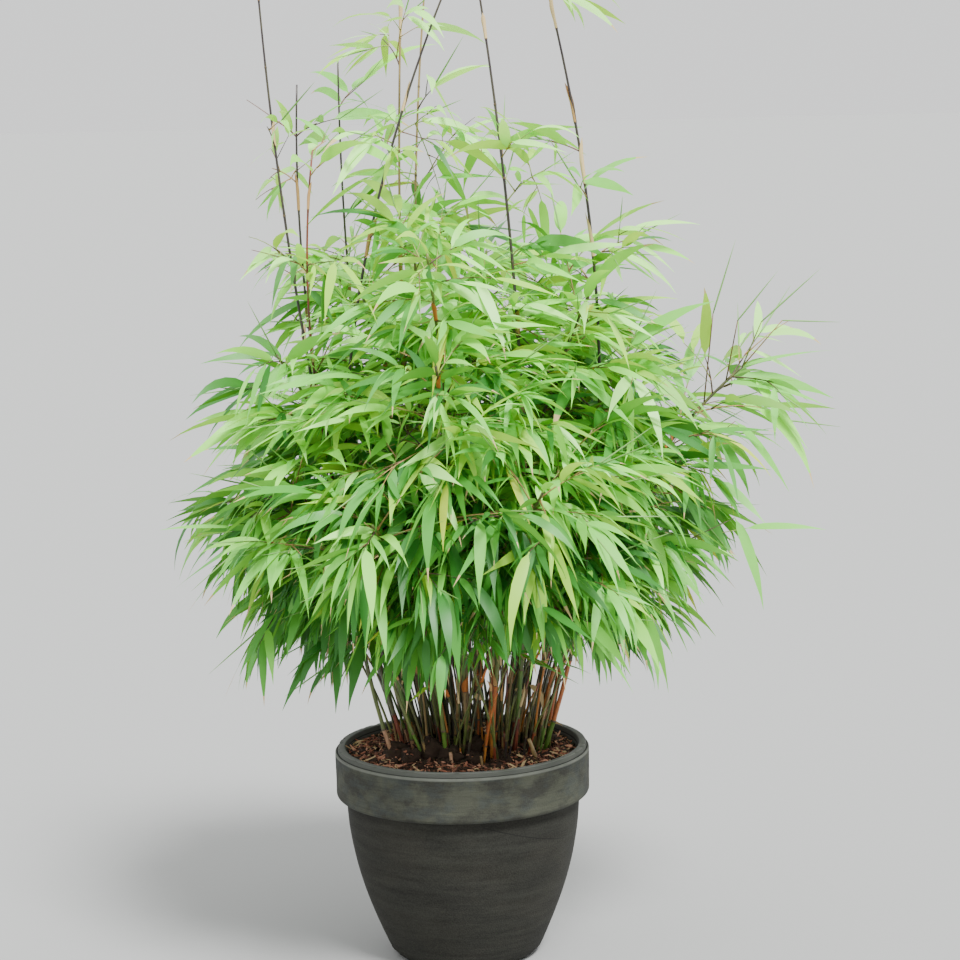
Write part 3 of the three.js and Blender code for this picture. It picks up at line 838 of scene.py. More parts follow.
def make_soil(finishes):
    """The soil's top in rings, and its side down to an underside inside the pot."""
    gathered = Gathered()
    reach = hollow_radius(SOIL_LEVEL) - 0.6
    turns = [2 * math.pi * k / SOIL_SIDES for k in range(SOIL_SIDES)]
    corners = []
    for ring in range(SOIL_RINGS):
        r = 3 + (reach - 3) * ring / (SOIL_RINGS - 1)
        for turn in turns:
            x, y = r * math.cos(turn), r * math.sin(turn)
            corners.append((x, y, soil_height(x, y)))
    for turn in turns:
        corners.append(((reach - 3) * math.cos(turn), (reach - 3) * math.sin(turn), SOIL_UNDERSIDE))
    gathered.add(corners, closed_faces(SOIL_RINGS + 1, SOIL_SIDES), 0)
    return gathered.make("potting_peat", finishes, "bark_mulch", ["soil"])


def chip_corners(draw, length, width, thick):
    """A torn sliver of bark: an uneven outline, bent a little, on two layers."""
    count = 6
    outline = []
    for i in range(count):
        angle = 2 * math.pi * i / count + between(draw, -0.3, 0.3)
        outline.append((math.cos(angle) * length / 2 * between(draw, 0.7, 1.05),
                        math.sin(angle) * width / 2 * between(draw, 0.6, 1.1)))
    bend = between(draw, -0.5, 0.5) / length
    layers = [[(x * k, y * k, z * between(draw, 0.5, 1) + bend * x * x) for x, y in outline]
              for k, z in ((0.86, thick / 2), (1.0, -thick / 2))]
    return np.array(layers[0] + layers[1])


CHIP_FACES = [tuple(range(6)), tuple(range(11, 5, -1))] + [
    (i, i + 6, (i + 1) % 6 + 6, (i + 1) % 6) for i in range(6)]


def turned(corners, yaw, pitch, roll):
    cy, sy, cp, sp, cr, sr = (f(a) for a in (yaw, pitch, roll) for f in (math.cos, math.sin))
    about_x = np.array([[1, 0, 0], [0, cr, -sr], [0, sr, cr]])
    about_y = np.array([[cp, 0, sp], [0, 1, 0], [-sp, 0, cp]])
    about_z = np.array([[cy, -sy, 0], [sy, cy, 0], [0, 0, 1]])
    return corners @ (about_z @ about_y @ about_x).T


def make_mulch(finishes):
    """Bark chips lie thick near the wall and thin out over the dark peat round the culms."""
    gathered = Gathered()
    draw = draw_for("bark")
    reach = hollow_radius(SOIL_LEVEL) - 3
    for _ in range(BARK_CHIPS):
        r = reach * math.sqrt(draw())
        angle = between(draw, 0, 2 * math.pi)
        x, y = r * math.cos(angle), r * math.sin(angle)
        patch = noise.noise(Vector((x * 0.022, y * 0.022, 9.0)))
        bark = 1.0 - 1.15 * peat_share(x, y) + 0.55 * patch
        if draw() > bark:
            size = between(draw, 1.6, 5.5)
            corners = chip_corners(draw, size, size * between(draw, 0.6, 1), size * between(draw, 0.4, 0.8))
            finish = 0 if draw() < 0.7 else 1
        else:
            size = between(draw, 3.5, 8) + 16 * draw() ** 5
            width = min(size * between(draw, 0.14, 0.42), 3.4)
            corners = chip_corners(draw, size, width, between(draw, 0.6, 1.8))
            finish = 1 + int(draw() ** 1.2 * 5 * min(1, 0.45 + 0.7 * max(0, bark)))
        corners = turned(corners, between(draw, 0, 6.3), between(draw, -0.5, 0.5), between(draw, -0.7, 0.7))
        low = max(0, -corners[:, 2].min() * 0.5)
        gathered.add(corners + (x, y, soil_height(x, y) + low + between(draw, 0, 1.6)), CHIP_FACES, finish)
    return gathered.make("bark_chips", finishes, "bark_mulch", [], smooth=False)


def clod(centre, radius, draw):
    """A lump of peat: a rough ball, flattened a little."""
    rows, columns = 14, 22
    shift = between(draw, 0, 50)
    corners = []
    for row in range(rows):
        polar = math.pi * (row + 0.5) / rows
        for column in range(columns):
            turn = 2 * math.pi * column / columns
            way = Vector((math.sin(polar) * math.cos(turn), math.sin(polar) * math.sin(turn),
                          math.cos(polar)))
            rough = 1 + 0.5 * noise.noise(way * 1.3 + Vector((shift, 0, 0)))
            rough += 0.34 * noise.noise(way * 3.4 + Vector((0, shift, 0)))
            rough += 0.26 * noise.noise(way * 8 + Vector((0, 0, shift)))
            corners.append(np.array(centre) + np.array(way) * radius * rough * (1, 1, 0.85))
    return corners, closed_faces(rows, columns)


def make_clods(finishes):
    """Clods among the culms, each with crumbs round it and bits of bark stuck on it."""
    gathered = Gathered()
    draw = draw_for("clods")
    for x, y, radius in CLODS:
        gathered.add(*clod((x, y, soil_height(x, y) + radius * 0.3), radius, draw), 0)
        for _ in range(CLOD_CRUMBS):
            aside = (x + between(draw, -1, 1) * radius * 1.7, y + between(draw, -1, 1) * radius * 1.7)
            size = radius * between(draw, 0.18, 0.42)
            gathered.add(*clod((*aside, soil_height(*aside) + 1), size, draw), 0)
        for _ in range(CLOD_CHIPS):
            turn, rise = between(draw, 0, 2 * math.pi), between(draw, 0.25, 1.3)
            level = math.cos(rise)
            way = np.array([math.cos(turn) * level, math.sin(turn) * level, math.sin(rise)])
            size = between(draw, 2, 7)
            chip = chip_corners(draw, size, size * between(draw, 0.25, 0.8), between(draw, 0.6, 1.6))
            chip = turned(chip, between(draw, 0, 6.3), between(draw, -0.6, 0.6), between(draw, -0.6, 0.6))
            place = np.array([x, y, soil_height(x, y) + radius * 0.3]) + way * radius * (0.98, 0.98, 0.86)
            gathered.add(chip + place, CHIP_FACES, 0 if draw() < 0.55 else 1 + int(draw() ** 1.4 * 4))
    gathered.make("peat_clods", finishes, "bark_mulch", [])


def make_stubs(finishes):
    """Short cut or broken pieces of culm that stand and lean at the foot of the clump."""
    gathered = Gathered()
    for (x, y, up), (to_x, to_y, to_up), radius, tone in STUBS:
        foot = (x, y, SOIL_LEVEL + up)
        tip = (to_x, to_y, SOIL_LEVEL + to_up)
        path = np.linspace(foot, tip, 7) + np.sin(np.linspace(0, math.pi, 7))[:, None] * (0.6, 0.6, 0)
        radii = np.array([1.1, 1, 0.96, 1.08, 0.96, 0.97, 0.9]) * radius
        gathered.add(*tube(path, radii, 10), tone)
    gathered.make("cut_culm_stubs", finishes, "culm", [])


def make_litter(finishes):
    """Curled pale husks and dry curled filaments, caught low in the plant."""
    husks = Gathered()
    plans = [Leaf(np.array(root, float), unit(np.array(aim, float)), length, wide, 1.4, 0.7, 1.8, 0.9)
             for root, aim, length, wide in HUSKS]
    faces = grid_faces(len(BLADE), len(ACROSS), False)
    for corners in blade_corners(plans):
        husks.add(corners, faces, 0)
    draw = draw_for("filaments")
    for _ in range(FILAMENTS):
        root = np.array([between(draw, -150, 170), between(draw, -150, 40), between(draw, 350, 470)])
        turn, size = between(draw, 0, 2 * math.pi), between(draw, 3, 7)
        curl = [root + (math.cos(turn + a) * size, math.sin(turn + a) * size * 0.5,
                        size * math.sin(1.7 * a) - 3 * a)
                for a in np.linspace(0, between(draw, 4, 8), 16)]
        husks.add(*tube(curl, np.linspace(0.32, 0.14, 16), 4), 1)
    husks.make("dry_litter", finishes, "culm", [])


# Finishes

def add_node(tree, kind, settings=None, inputs=None):
    """Adds a node with its settings, its values and its links."""
    node = tree.nodes.new(kind)
    for name, value in (settings or {}).items():
        setattr(node, name, value)
    for name, value in (inputs or {}).items():
        if isinstance(value, bpy.types.NodeSocket):
            tree.links.new(value, node.inputs[name])
        else:
            node.inputs[name].default_value = value
    return node


def new_finish(name):
    material = bpy.data.materials.new(name)
    material.use_nodes = True
    material.node_tree.nodes.clear()
    return material, material.node_tree


def per_metre(millimetres):
    """A pattern's scale from the real size of what it shows."""
    return 1000 / millimetres


def mixed_colour(tree, share, first, second):
    mixed = add_node(tree, "ShaderNodeMix", {"data_type": "RGBA"}, {0: share, 6: first, 7: second})
    return mixed.outputs[2]


def living_leaf(name, upper, through):
    """Bamboo leaf, living: a thin waxed blade. Light slides off it softly and some comes through."""
    material, tree = new_finish(name)
    skin = add_node(tree, "ShaderNodeBsdfPrincipled", inputs={
        "Base Color": srgb(upper), "Roughness": 0.46, "IOR": 1.45})
    glow = add_node(tree, "ShaderNodeBsdfTranslucent", inputs={"Color": srgb(through)})
    blade = add_node(tree, "ShaderNodeMixShader", inputs={0: 0.3, 1: skin.outputs[0], 2: glow.outputs[0]})
    add_node(tree, "ShaderNodeOutputMaterial", inputs={"Surface": blade.outputs[0]})
    return material


def bamboo_skin(name, colour, mottle, roughness=0.42):
    """Bamboo culm, natural skin: smooth and a little glossy, with blotches drawn out up the culm."""
    material, tree = new_finish(name)
    place = add_node(tree, "ShaderNodeTexCoord").outputs["Object"]
    drawn_out = add_node(tree, "ShaderNodeMapping", inputs={"Vector": place, "Scale": (1, 1, 0.22)})
    blotches = add_node(tree, "ShaderNodeTexNoise", inputs={
        "Vector": drawn_out.outputs[0], "Scale": per_metre(5), "Detail": 4.0, "Roughness": 0.6})
    share = add_node(tree, "ShaderNodeMapRange", inputs={
        "Value": blotches.outputs["Fac"], "From Min": 0.42, "From Max": 0.66})
    tint = mixed_colour(tree, share.outputs[0], srgb(colour), srgb(mottle))
    ridges = add_node(tree, "ShaderNodeBump", inputs={
        "Height": blotches.outputs["Fac"], "Strength": 0.25, "Distance": 0.0004})
    skin = add_node(tree, "ShaderNodeBsdfPrincipled", inputs={
        "Base Color": tint, "Roughness": roughness, "IOR": 1.5, "Normal": ridges.outputs[0]})
    add_node(tree, "ShaderNodeOutputMaterial", inputs={"Surface": skin.outputs[0]})
    return material


def plain_matt(name, colour, roughness, grain=1.5, depth=0.0003):
    """Bark, husk or peat: matt plant matter whose fine grain only roughens the light on it."""
    material, tree = new_finish(name)
    place = add_node(tree, "ShaderNodeTexCoord").outputs["Object"]
    fibres = add_node(tree, "ShaderNodeTexNoise", inputs={
        "Vector": place, "Scale": per_metre(grain), "Detail": 3.0})
    relief = add_node(tree, "ShaderNodeBump", inputs={
        "Height": fibres.outputs["Fac"], "Strength": 0.5, "Distance": depth})
    skin = add_node(tree, "ShaderNodeBsdfPrincipled", inputs={
        "Base Color": srgb(colour), "Roughness": roughness, "IOR": 1.45, "Normal": relief.outputs[0]})
    add_node(tree, "ShaderNodeOutputMaterial", inputs={"Surface": skin.outputs[0]})
    return material


def weathered_grey_terracotta():
    """Grey fired clay, turned on a wheel and weathered: dry and matt, with wiped streaks round the wall,
    damp blotches, a fine grain and a paler worn edge. The body is darker than the band, partly its own tone
    and partly painted shade."""
    material, tree = new_finish("weathered_grey_terracotta")
    place = add_node(tree, "ShaderNodeTexCoord").outputs["Object"]

    def pattern(size, squash=(1, 1, 1), detail=4.0, low=0.35, high=0.65):
        laid = add_node(tree, "ShaderNodeMapping", inputs={"Vector": place, "Scale": squash})
        cloud = add_node(tree, "ShaderNodeTexNoise", inputs={
            "Vector": laid.outputs[0], "Scale": per_metre(size), "Detail": detail, "Roughness": 0.62})
        spread = add_node(tree, "ShaderNodeMapRange", inputs={
            "Value": cloud.outputs["Fac"], "From Min": low, "From Max": high})
        return spread.outputs[0]

    def rises(value, low, high):
        return add_node(tree, "ShaderNodeMapRange", inputs={
            "Value": value, "From Min": low * MM, "From Max": high * MM}).outputs[0]

    def sum_of(operation, first, second=0.0):
        return add_node(tree, "ShaderNodeMath", {"operation": operation}, {0: first, 1: second}).outputs[0]

    def times(first, second):
        return sum_of("MULTIPLY", first, second)

    def stained(tint, share, strength, colour):
        return mixed_colour(tree, times(share, strength), tint, srgb(colour))

    blotches = pattern(62)
    patches = pattern(42, (1, 1, 1.7), 6.0, 0.43, 0.58)
    bluish = pattern(27, (1, 1, 1.6), 3.0, 0.46, 0.6)
    smudges = pattern(88, (1, 1, 1.8), 3.0, 0.44, 0.6)
    wiped = pattern(70, (1, 1, 9), 5.0)
    fine_wipes = pattern(34, (1, 1, 26), 3.0, 0.4, 0.75)
    grain = pattern(1.6, detail=2.0)
    split = add_node(tree, "ShaderNodeSeparateXYZ", inputs={"Vector": place})
    height = split.outputs["Z"]
    on_band = rises(height, BAND_FOOT + 0.2, BAND_FOOT + 1.4)
    # The body's tint is darker than the band's: partly the clay's own tone, partly painted shade.
    wall_tint_and_shade = mixed_colour(tree, blotches, srgb("#161510"), srgb("#211F1A"))
    wall_tint_and_shade = stained(wall_tint_and_shade, smudges, 0.6, "#0F0F0D")
    band_tint = mixed_colour(tree, patches, srgb("#2A2A25"), srgb("#44463B"))
    band_tint = stained(band_tint, bluish, 0.5, "#343B3C")
    tint = mixed_colour(tree, on_band, wall_tint_and_shade, band_tint)
    tint = stained(tint, wiped, 0.35, "#33342E")
    tint = stained(tint, fine_wipes, 0.35, "#161614")
    tint = stained(tint, grain, 0.09, "#5E5F55")

    # The scored hairline, on the front of the body at the right.
    slant = add_node(tree, "ShaderNodeVectorMath", {"operation": "DOT_PRODUCT"}, {0: place, 1: SCORE_SLANT})
    off_line = sum_of("ABSOLUTE", sum_of("SUBTRACT", slant.outputs["Value"], SCORE_HEIGHT * MM))
    score = times(rises(off_line, 0.75, 0.2), rises(split.outputs["Y"], -60, -80))
    score = times(score, times(rises(split.outputs["X"], 14, 40), 0.8))
    tint = mixed_colour(tree, score, tint, srgb("#0B0B0A"))

    # The hollow, the lip, its flat top, painted shade in the step under it and the worn shoulder.
    flat = add_node(tree, "ShaderNodeVectorMath", {"operation": "MULTIPLY"}, {0: place, 1: (1, 1, 0)})
    reach = add_node(tree, "ShaderNodeVectorMath", {"operation": "LENGTH"}, {0: flat.outputs[0]})
    radius = reach.outputs["Value"]
    inside = times(rises(radius, RIM_RADIUS - 8, RIM_RADIUS - 9), on_band)
    tint = stained(tint, inside, 0.85, "#5C5D58")
    tint = stained(tint, rises(height, POT_HEIGHT - 5.6, POT_HEIGHT - 4.6), 0.8, "#50524D")
    tint = stained(tint, rises(height, POT_HEIGHT - 0.6, POT_HEIGHT - 0.3), 0.8, "#6C6D69")
    # A dark line in the step under the lip is painted shade.
    above_step = rises(height, POT_HEIGHT - 6.4, POT_HEIGHT - 5.6)
    below_lip = rises(height, POT_HEIGHT - 4.4, POT_HEIGHT - 5.2)
    painted_step_shade = times(times(above_step, below_lip), rises(radius, RIM_RADIUS - 1.5, RIM_RADIUS - 1.9))
    tint = stained(tint, painted_step_shade, 0.85, "#151615")
    shoulder = rises(height, POT_HEIGHT - 8.6, POT_HEIGHT - 7.2)
    worn = times(shoulder, rises(radius, RIM_RADIUS - 1.9, RIM_RADIUS - 1.5))
    patchy = add_node(tree, "ShaderNodeMapRange", inputs={
        "Value": pattern(30, detail=3.0, low=0.2, high=0.6), "To Min": 0.5, "To Max": 0.95})
    tint = stained(tint, worn, patchy.outputs[0], "#666861")
    relief = add_node(tree, "ShaderNodeBump", inputs={
        "Height": grain, "Strength": 0.35, "Distance": 0.0003})
    relief = add_node(tree, "ShaderNodeBump", inputs={
        "Height": wiped, "Strength": 0.3, "Distance": 0.0006, "Normal": relief.outputs[0]})
    skin = add_node(tree, "ShaderNodeBsdfPrincipled", inputs={
        "Base Color": tint, "Roughness": 0.85, "IOR": 1.45, "Specular IOR Level": 0.3,
        "Normal": relief.outputs[0]})
    add_node(tree, "ShaderNodeOutputMaterial", inputs={"Surface": skin.outputs[0]})
    return material


# Leaf tones from the shade at the crown's foot to the light on its top
LEAF_TONES = [
    ("bamboo_leaf_deep_green", "#2E722A", "#5C9C18"),
    ("bamboo_leaf_mid_green", "#4A9838", "#7ABA2C"),
    ("bamboo_leaf_fresh_green", "#70C24C", "#98D43C"),
    ("bamboo_leaf_light_green", "#8CDC54", "#AEE046"),
    ("bamboo_leaf_pale_mint", "#A8EC7A", "#C0EA5C"),
    ("bamboo_leaf_yellow_green", "#98CC40", "#BCE244"),
]
TONES = len(LEAF_TONES)
FRESH_GREEN = 2
PALE_MINT = TONES - 2
YELLOW_GREEN = TONES - 1
YELLOWING = TONES
DRY = TONES + 1

CULM_TONES = [
    ("bamboo_node_ring", "#5E4D33", "#2F261B"),
    ("bamboo_culm_purple_black", "#2A2124", "#3E3A28"),
    ("bamboo_culm_dark_olive", "#3B3B22", "#565A2C"),
    ("bamboo_culm_olive_green", "#4E5A28", "#6A7234"),
    ("bamboo_culm_green", "#557528", "#3F5A20"),
    ("bamboo_culm_ochre", "#AE7030", "#8A5122"),
    ("bamboo_culm_orange_brown", "#9C4F26", "#B87434"),
    ("bamboo_culm_red_brown", "#763722", "#4A2519"),
    ("bamboo_culm_tan", "#8E774E", "#6E5938"),
    ("bamboo_culm_pink_tan", "#B38B6E", "#8E6A4E"),
]
(NODE_TONE, PURPLE_BLACK, DARK_OLIVE, OLIVE, GREEN, OCHRE, ORANGE, RED_BROWN, TAN, PINK_TAN) = range(10)
TALL_TONES = [
    [RED_BROWN, DARK_OLIVE, DARK_OLIVE, PURPLE_BLACK],
    [OLIVE, DARK_OLIVE, PURPLE_BLACK],
    [TAN, OLIVE, DARK_OLIVE, PURPLE_BLACK],
    [PINK_TAN, OLIVE, DARK_OLIVE, PURPLE_BLACK],
    [GREEN, OLIVE, DARK_OLIVE, RED_BROWN],
    [PURPLE_BLACK, DARK_OLIVE, TAN, DARK_OLIVE, TAN],
    [DARK_OLIVE, TAN, TAN],
    [RED_BROWN, GREEN, OLIVE, OLIVE, DARK_OLIVE, DARK_OLIVE, PURPLE_BLACK],
    [GREEN, ORANGE, DARK_OLIVE, PURPLE_BLACK, PURPLE_BLACK, DARK_OLIVE, PURPLE_BLACK],
]
CANE_TONES = [
    [DARK_OLIVE, TAN, DARK_OLIVE],
    [PURPLE_BLACK, DARK_OLIVE, RED_BROWN],
    [RED_BROWN, OLIVE, DARK_OLIVE],
    [TAN, DARK_OLIVE, PURPLE_BLACK],
    [OCHRE, DARK_OLIVE, OLIVE],
]
RIGHT_TONES = [GREEN, ORANGE, DARK_OLIVE, DARK_OLIVE]
LEFT_TONES = [PINK_TAN, GREEN, OLIVE, DARK_OLIVE]
FRONT_TONES = [[ORANGE, OCHRE, TAN, OLIVE], [OCHRE, ORANGE, OLIVE, DARK_OLIVE]]
OTHER_TONES = [
    [DARK_OLIVE, TAN, OLIVE, DARK_OLIVE],
    [PURPLE_BLACK, DARK_OLIVE, RED_BROWN, OLIVE],
    [DARK_OLIVE, OLIVE, OLIVE],
    [RED_BROWN, OLIVE, OLIVE],
    [GREEN, OLIVE, OLIVE],
    [DARK_OLIVE, OCHRE, OLIVE, OLIVE],
    [OLIVE, TAN, TAN, OLIVE],
]
TWIG_TONES = [
    ("bamboo_twig_brown", "#6C4A31", "#4A3324"),
    ("bamboo_twig_dark", "#3B2C24", "#56402E"),
    ("bamboo_twig_tan", "#9C7D4F", "#7D6038"),
    ("bamboo_twig_green", "#6C8038", "#8A9448"),
]


# The plant

def foot_tones(culm, draw):
    """Colours of a leafy culm from the soil up, by where it stands in the clump."""
    x, y = culm["path"][0][:2] - CLUMP[:2]
    if x > 62 and culm["radius"] > 2:
        return RIGHT_TONES
    if x < -50:
        return LEFT_TONES
    if abs(x - 14) < 12 and y < 10:
        return one_of(FRONT_TONES, draw)
    return one_of(OTHER_TONES, draw)


def slender_culms(draw):
    """Thin culms that crowd the foot of the clump. Most leafy ones end inside the crown and some
    lower down. The last ones are bare canes, most of them at the back."""
    slender = []
    while len(slender) < LEAFY_SLENDER + BARE_CANES:
        cane = len(slender) >= LEAFY_SLENDER
        angle = between(draw, 0, 2 * math.pi)
        if cane and draw() < CANES_BEHIND:
            angle = between(draw, 0, math.pi)
        out = SLENDER_REACH * math.sqrt(draw())
        foot = CLUMP + np.array([math.cos(angle), math.sin(angle) * CLUMP_DEPTH, 0]) * out
        low = cane or draw() < 0.3
        length = between(draw, *(SHORT_LENGTHS if low else SLENDER_LENGTHS))
        length += between(draw, *CANE_ADDS) if cane else 0
        lean = math.radians(between(draw, 0, 13) + out * 0.2)
        path = arch_path(foot, angle + between(draw, -1.2, 1.2), length, lean * 0.5, lean * 1.5)
        if clearance(path[:6], culms + slender) > (CANE_SPACING if cane else SLENDER_SPACING):
            slender.append(dict(path=path, bare=1 if low else 0.6, radius=between(draw, *SLENDER_RADII),
                                tip_radius=SLENDER_TIP_RADIUS, cane=cane))
    return slender


def make_culms(finishes, husks, slender):
    tall = Gathered()
    leafy = Gathered()
    sheaths = Gathered()
    draw = draw_for("culm_tones")

    def add_sheaths(culm, nodes, chance, lengths, husk_kinds):
        for node in nodes:
            if draw() < chance:
                add_sheath(sheaths, culm["path"], node, radius_at(culm, node), between(draw, *lengths),
                           int(draw() * husk_kinds), draw, between(draw, 0.1, 0.5))

    for culm, tones in zip(culms, TALL_TONES):
        nodes = add_culm(tall, culm, tones, TALL_NODE_GAPS, 12, draw)
        add_sheaths(culm, nodes[3:], 0.4, (24, 48), 2)
    for culm in culms[len(TALL):] + slender:
        cane = culm.get("cane", False)
        tones = one_of(CANE_TONES, draw) if cane else foot_tones(culm, draw)
        nodes = add_culm(leafy, culm, tones, LEAFY_NODE_GAPS, 6 if cane else 10, draw)
        add_sheaths(culm, nodes[1:], 0.5, (16, 34), 3)
    names = list(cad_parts)
    tall.make("tall_bamboo_culms", finishes, "culm", [n for n in names if n.startswith("tall_culm")])
    leafy.make("leafy_bamboo_culms", finishes, "culm", [n for n in names if n.startswith("stem")])
    sheaths.make("culm_sheaths", husks, "culm", [])


def tone_at(height, draw):
    """Deep green low in the crown and paler towards its top, with some chance: painted shade low down,
    painted light and sky reflection on top. Yellow-green, partly painted light shining through, comes more
    often higher up.
    """
    level = (height - TONE_FOOT) / TONE_RISE * 2.6 + between(draw, -1.7, 2.2)
    if draw() < 0.02 + 0.1 * min(max((height - YELLOW_FOOT) / YELLOW_RISE, 0), 1):
        return YELLOW_GREEN
    return int(min(max(level, 0), PALE_MINT))


def bare_room():
    """The part's own box, and the bare stretches of culm that leaves keep clear of."""
    starts, ends, radii = [], [], []
    for culm in culms:
        stop = int(round(culm["bare"] * PATH_STEPS))
        starts.append(culm["path"][:stop])
        ends.append(culm["path"][1:stop + 1])
        radii.append([radius_at(culm, (i + 0.5) / PATH_STEPS) for i in range(stop)])
    low, high = (np.array(corner) / MM for corner in cad_box)
    return dict(starts=np.concatenate(starts), ends=np.concatenate(ends), radii=np.concatenate(radii),
                low=low, high=high)


def grow_crown(growth, room, slender, leafy, stray):
    """The masses of the leafy culms, those of the slender ones, small leaves, and the stray culm."""
    for index, culm in enumerate(leafy):
        draw = draw_for("masses", index)
        grow_mass(culm["path"], culm["bare"], growth, room, draw, NODE_SPACING, 1.0)
    for index, culm in enumerate(slender):
        if culm["bare"] < 1:
            draw = draw_for("slender_masses", index)
            grow_mass(culm["path"], culm["bare"], growth, room, draw, NODE_SPACING * 1.3, 0.85)
    grow_small_leaves(growth, room, draw_for("small_leaves"))
    draw = draw_for("masses", len(leafy))
    grow_mass(stray["path"], stray["bare"], growth, room, draw, NODE_SPACING * 1.25, 1.15, stray=True)


def grow_tall_shoots(growth, room):
    """Side shoots, tips and sprays of the tall culms."""
    for index, culm in enumerate(culms[:len(TALL)]):
        draw = draw_for("side_shoots", index)
        grow_side_shoots(culm, growth, room, draw, SHOOT_HEIGHTS, SHOOTS)
        tip = culm["path"][-1]
        leafy_end(culm["path"][-5:], growth, room, draw, 0.8, tone_at(tip[2] - 250, draw), 4)
    for index, spray in enumerate(SPRAYS):
        draw = draw_for("sprays", index)
        foot = point_at(culms[spray["culm"]]["path"], spray["up"])
        lean = [math.radians(90 - spray["rise"] + arch) for arch in SPRAY_ARCH]
        path = arch_path(foot, math.radians(spray["azimuth"]), spray["length"], *lean)
        growth.limbs.append((path, 0.9, 0.6))
        grow_mass(path, 0.1, growth, room, draw, 20, 0.8)


def add_placed_leaves(growth, stray):
    """The single leaves that stand by themselves: one low down, and those at the right."""
    root, aim, length, wide = LOW_LEAF
    growth.leaves.append(Leaf(np.array(root, float), unit(np.array(aim)), length, wide,
                              0.2, 0.9, 0.2, 0.1, tone=YELLOW_GREEN, chance=0.5))
    growth.limbs.append((np.array([root, (root[0] + 9, root[1] + 8, root[2] - 4)], float), 0.5, 0.5))
    for start, root, aim, length, wide in FREE_LEAVES:
        growth.limbs.append((np.linspace(start, root, 5), 0.7, 0.4))
        growth.leaves.append(Leaf(np.array(root, float), unit(np.array(aim)), length, wide,
                                  0.3, 0.5, 0.3, 0.1, tone=FRESH_GREEN, chance=0.7))
    for share, root, tip in LONG_ROLLED:
        growth.limbs.append((np.linspace(point_at(stray["path"], share), root, 5), 0.9, 0.6))
        run = np.array(tip, float) - root
        growth.rolled.append((np.array(root, float), unit(run), np.linalg.norm(run)))


def grow_plant(slender):
    growth = Growth()
    room = bare_room()
    *leafy, stray = culms[len(TALL):]
    grow_crown(growth, room, slender, leafy, stray)
    shoots_low = np.maximum(room["low"], (SPRAY_LEFT, -math.inf, 0))
    grow_tall_shoots(growth, {**room, "low": shoots_low})
    add_placed_leaves(growth, stray)
    return growth


def make_leaves(leaves, finishes):
    """The leaves in three pieces by height, in place of the solids' masses and sprays."""
    names = list(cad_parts)
    masses = [n for n in names if n.startswith("foliage")]
    sprays = [n for n in names if n.startswith("spray")]
    by_height = sorted(leaves, key=lambda leaf: leaf.root[2])
    third = len(leaves) // 3 + 1
    pieces = [("bamboo_leaves_low", masses[:7]), ("bamboo_leaves_middle", masses[7:]),
              ("bamboo_leaves_top", sprays)]
    for index, (name, replaced) in enumerate(pieces):
        gathered = gather_leaves(by_height[index * third:(index + 1) * third])
        gathered.make(name, finishes, "foliage", replaced)


def make_rolled_leaves(rolled_leaves, finish):
    rolled = Gathered()
    for root, aim, size in rolled_leaves:
        rolled.add(*slim_cone(root, aim, size, 0.5 + size / 160), 0)
    rolled.make("rolled_young_leaves", [finish], "foliage", [])


def make_twigs(limbs, finishes, draw):
    twigs = Gathered()
    for path, foot_radius, tip_radius in limbs:
        radii = np.linspace(foot_radius, tip_radius, len(path))
        twigs.add(*tube(path, radii, 5), int(draw() ** 0.9 * len(finishes)))
    twigs.make("bamboo_twigs", finishes, "culm", [])


def make_bracts(places, husks, draw):
    """Small dry husks at the foot of the branches and twigs."""
    bracts = Gathered()
    plans = [Leaf(root - aim * 1.5, aim, size, 0.2, 0.1, between(draw, -3, 3), 0.0, 0.0)
             for root, aim, size in places]
    faces = grid_faces(len(HUSK), len(ACROSS), False)
    for corners in blade_corners(plans, HUSK):
        bracts.add(corners, faces, int(draw() * len(husks)))
    bracts.make("twig_bracts", husks, "culm", [])


def make_camera():
    """The photo's view: three metres off, a little above, tilted very slightly."""
    pitch, roll = math.radians(VIEW_PITCH), math.radians(VIEW_ROLL)
    ahead = Vector((0, math.cos(pitch), -math.sin(pitch)))
    right, up = Vector((1, 0, 0)), Vector((0, math.sin(pitch), math.cos(pitch)))
    across = right * math.cos(roll) - up * math.sin(roll)
    above = right * math.sin(roll) + up * math.cos(roll)
    data = bpy.data.cameras.new("camera")
    data.sensor_width = SENSOR_WIDTH
    data.lens = SENSOR_WIDTH / 2 / HALF_VIEW
    camera = bpy.data.objects.new("camera", data)
    bpy.context.scene.collection.objects.link(camera)
    camera.matrix_world = Matrix((
        (across.x, above.x, -ahead.x, 0), (across.y, above.y, -ahead.y, 0),
        (across.z, above.z, -ahead.z, 0), (0, 0, 0, 1)))
    camera.location = Vector(VIEW_AIM) - ahead * VIEW_DISTANCE
    bpy.context.scene.camera = camera


def make_dome():
    """Soft light from all round, strongest from above and as pale as the floor at its foot."""
    world = bpy.data.worlds.new("studio")
    world.use_nodes = True
    tree = world.node_tree
    tree.nodes.clear()
    towards = add_node(tree, "ShaderNodeTexCoord").outputs["Generated"]
    split = add_node(tree, "ShaderNodeSeparateXYZ", inputs={"Vector": towards})
    height = add_node(tree, "ShaderNodeMapRange", inputs={
        "Value": split.outputs["Z"], "From Min": 0.05, "From Max": 0.9})
    level = add_node(tree, "ShaderNodeMapRange", inputs={
        "Value": height.outputs[0], "To Min": FLOOR_LIGHT, "To Max": DOME_LIGHT})
    light = add_node(tree, "ShaderNodeBackground", inputs={
        "Color": srgb("#F6F7F7"), "Strength": level.outputs[0]})
    add_node(tree, "ShaderNodeOutputWorld", inputs={"Surface": light.outputs[0]})
    bpy.context.scene.world = world


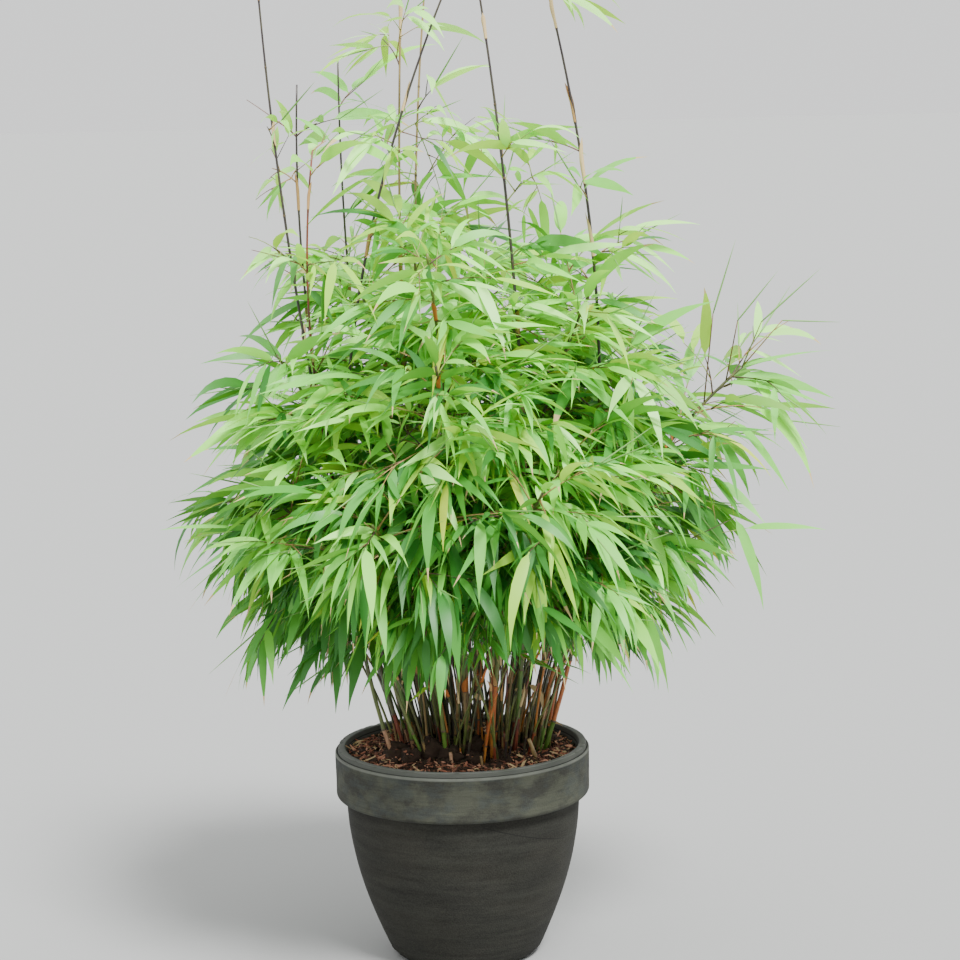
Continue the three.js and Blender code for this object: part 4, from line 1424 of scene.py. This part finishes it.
def make_studio():
    make_dome()
    data = bpy.data.lights.new("key_light", "SUN")
    data.energy = KEY_LIGHT
    data.angle = math.radians(KEY_SPREAD)
    lamp = bpy.data.objects.new("key_light", data)
    bpy.context.scene.collection.objects.link(lamp)
    lamp.rotation_euler = Vector(KEY_DIRECTION).to_track_quat("-Z", "Y").to_euler()
    mesh = bpy.data.meshes.new("floor")
    corners = [(x * FLOOR_REACH, y * FLOOR_REACH, 0) for x, y in ((-1, -1), (1, -1), (1, 1), (-1, 1))]
    mesh.from_pydata(corners, [], [(0, 1, 2, 3)])
    floor = bpy.data.objects.new("floor", mesh)
    bpy.context.scene.collection.objects.link(floor)
    mesh.materials.append(plain_matt("studio_floor", "#888988", 0.9, 40, 0.0001))


def build():
    slender = slender_culms(draw_for("slender_culms"))
    culm_finishes = [bamboo_skin(*tone) for tone in CULM_TONES]
    twig_finishes = [bamboo_skin(*tone, 0.55) for tone in TWIG_TONES]
    husks = [plain_matt("dry_husk_straw", "#BFA577", 0.75), plain_matt("dry_husk_tan", "#A98252", 0.75),
             plain_matt("dry_husk_orange", "#B4682C", 0.7)]
    leaf_finishes = [living_leaf(*tone) for tone in LEAF_TONES]
    leaf_finishes += [living_leaf("bamboo_leaf_yellowing", "#AEC238", "#CCD848"),
                      living_leaf("bamboo_leaf_dry_tip", "#BFA676", "#CDB67A")]
    bark = [plain_matt("dark_peat", "#32241A", 1.0, 2.5, 0.0014), plain_matt("bark_dark", "#3B281C", 0.95),
            plain_matt("bark_brown", "#6C4536", 0.9), plain_matt("bark_red_brown", "#97604A", 0.9),
            plain_matt("bark_pink_brown", "#BF8A70", 0.9), plain_matt("bark_straw", "#B99E78", 0.9)]
    make_pot(weathered_grey_terracotta())
    make_soil([bark[0]])
    make_mulch(bark)
    make_clods(bark)
    make_stubs(culm_finishes)
    make_litter([husks[0], husks[1]])
    make_culms(culm_finishes, husks, slender)
    growth = grow_plant(slender)
    make_leaves(growth.leaves, leaf_finishes)
    draw = draw_for("twigs")
    make_twigs(growth.limbs, twig_finishes, draw)
    make_rolled_leaves(growth.rolled, living_leaf("bamboo_leaf_rolled", "#7FAE5E", "#A5CC68"))
    make_bracts(growth.bracts, husks, draw)
    make_studio()
    make_camera()


build()
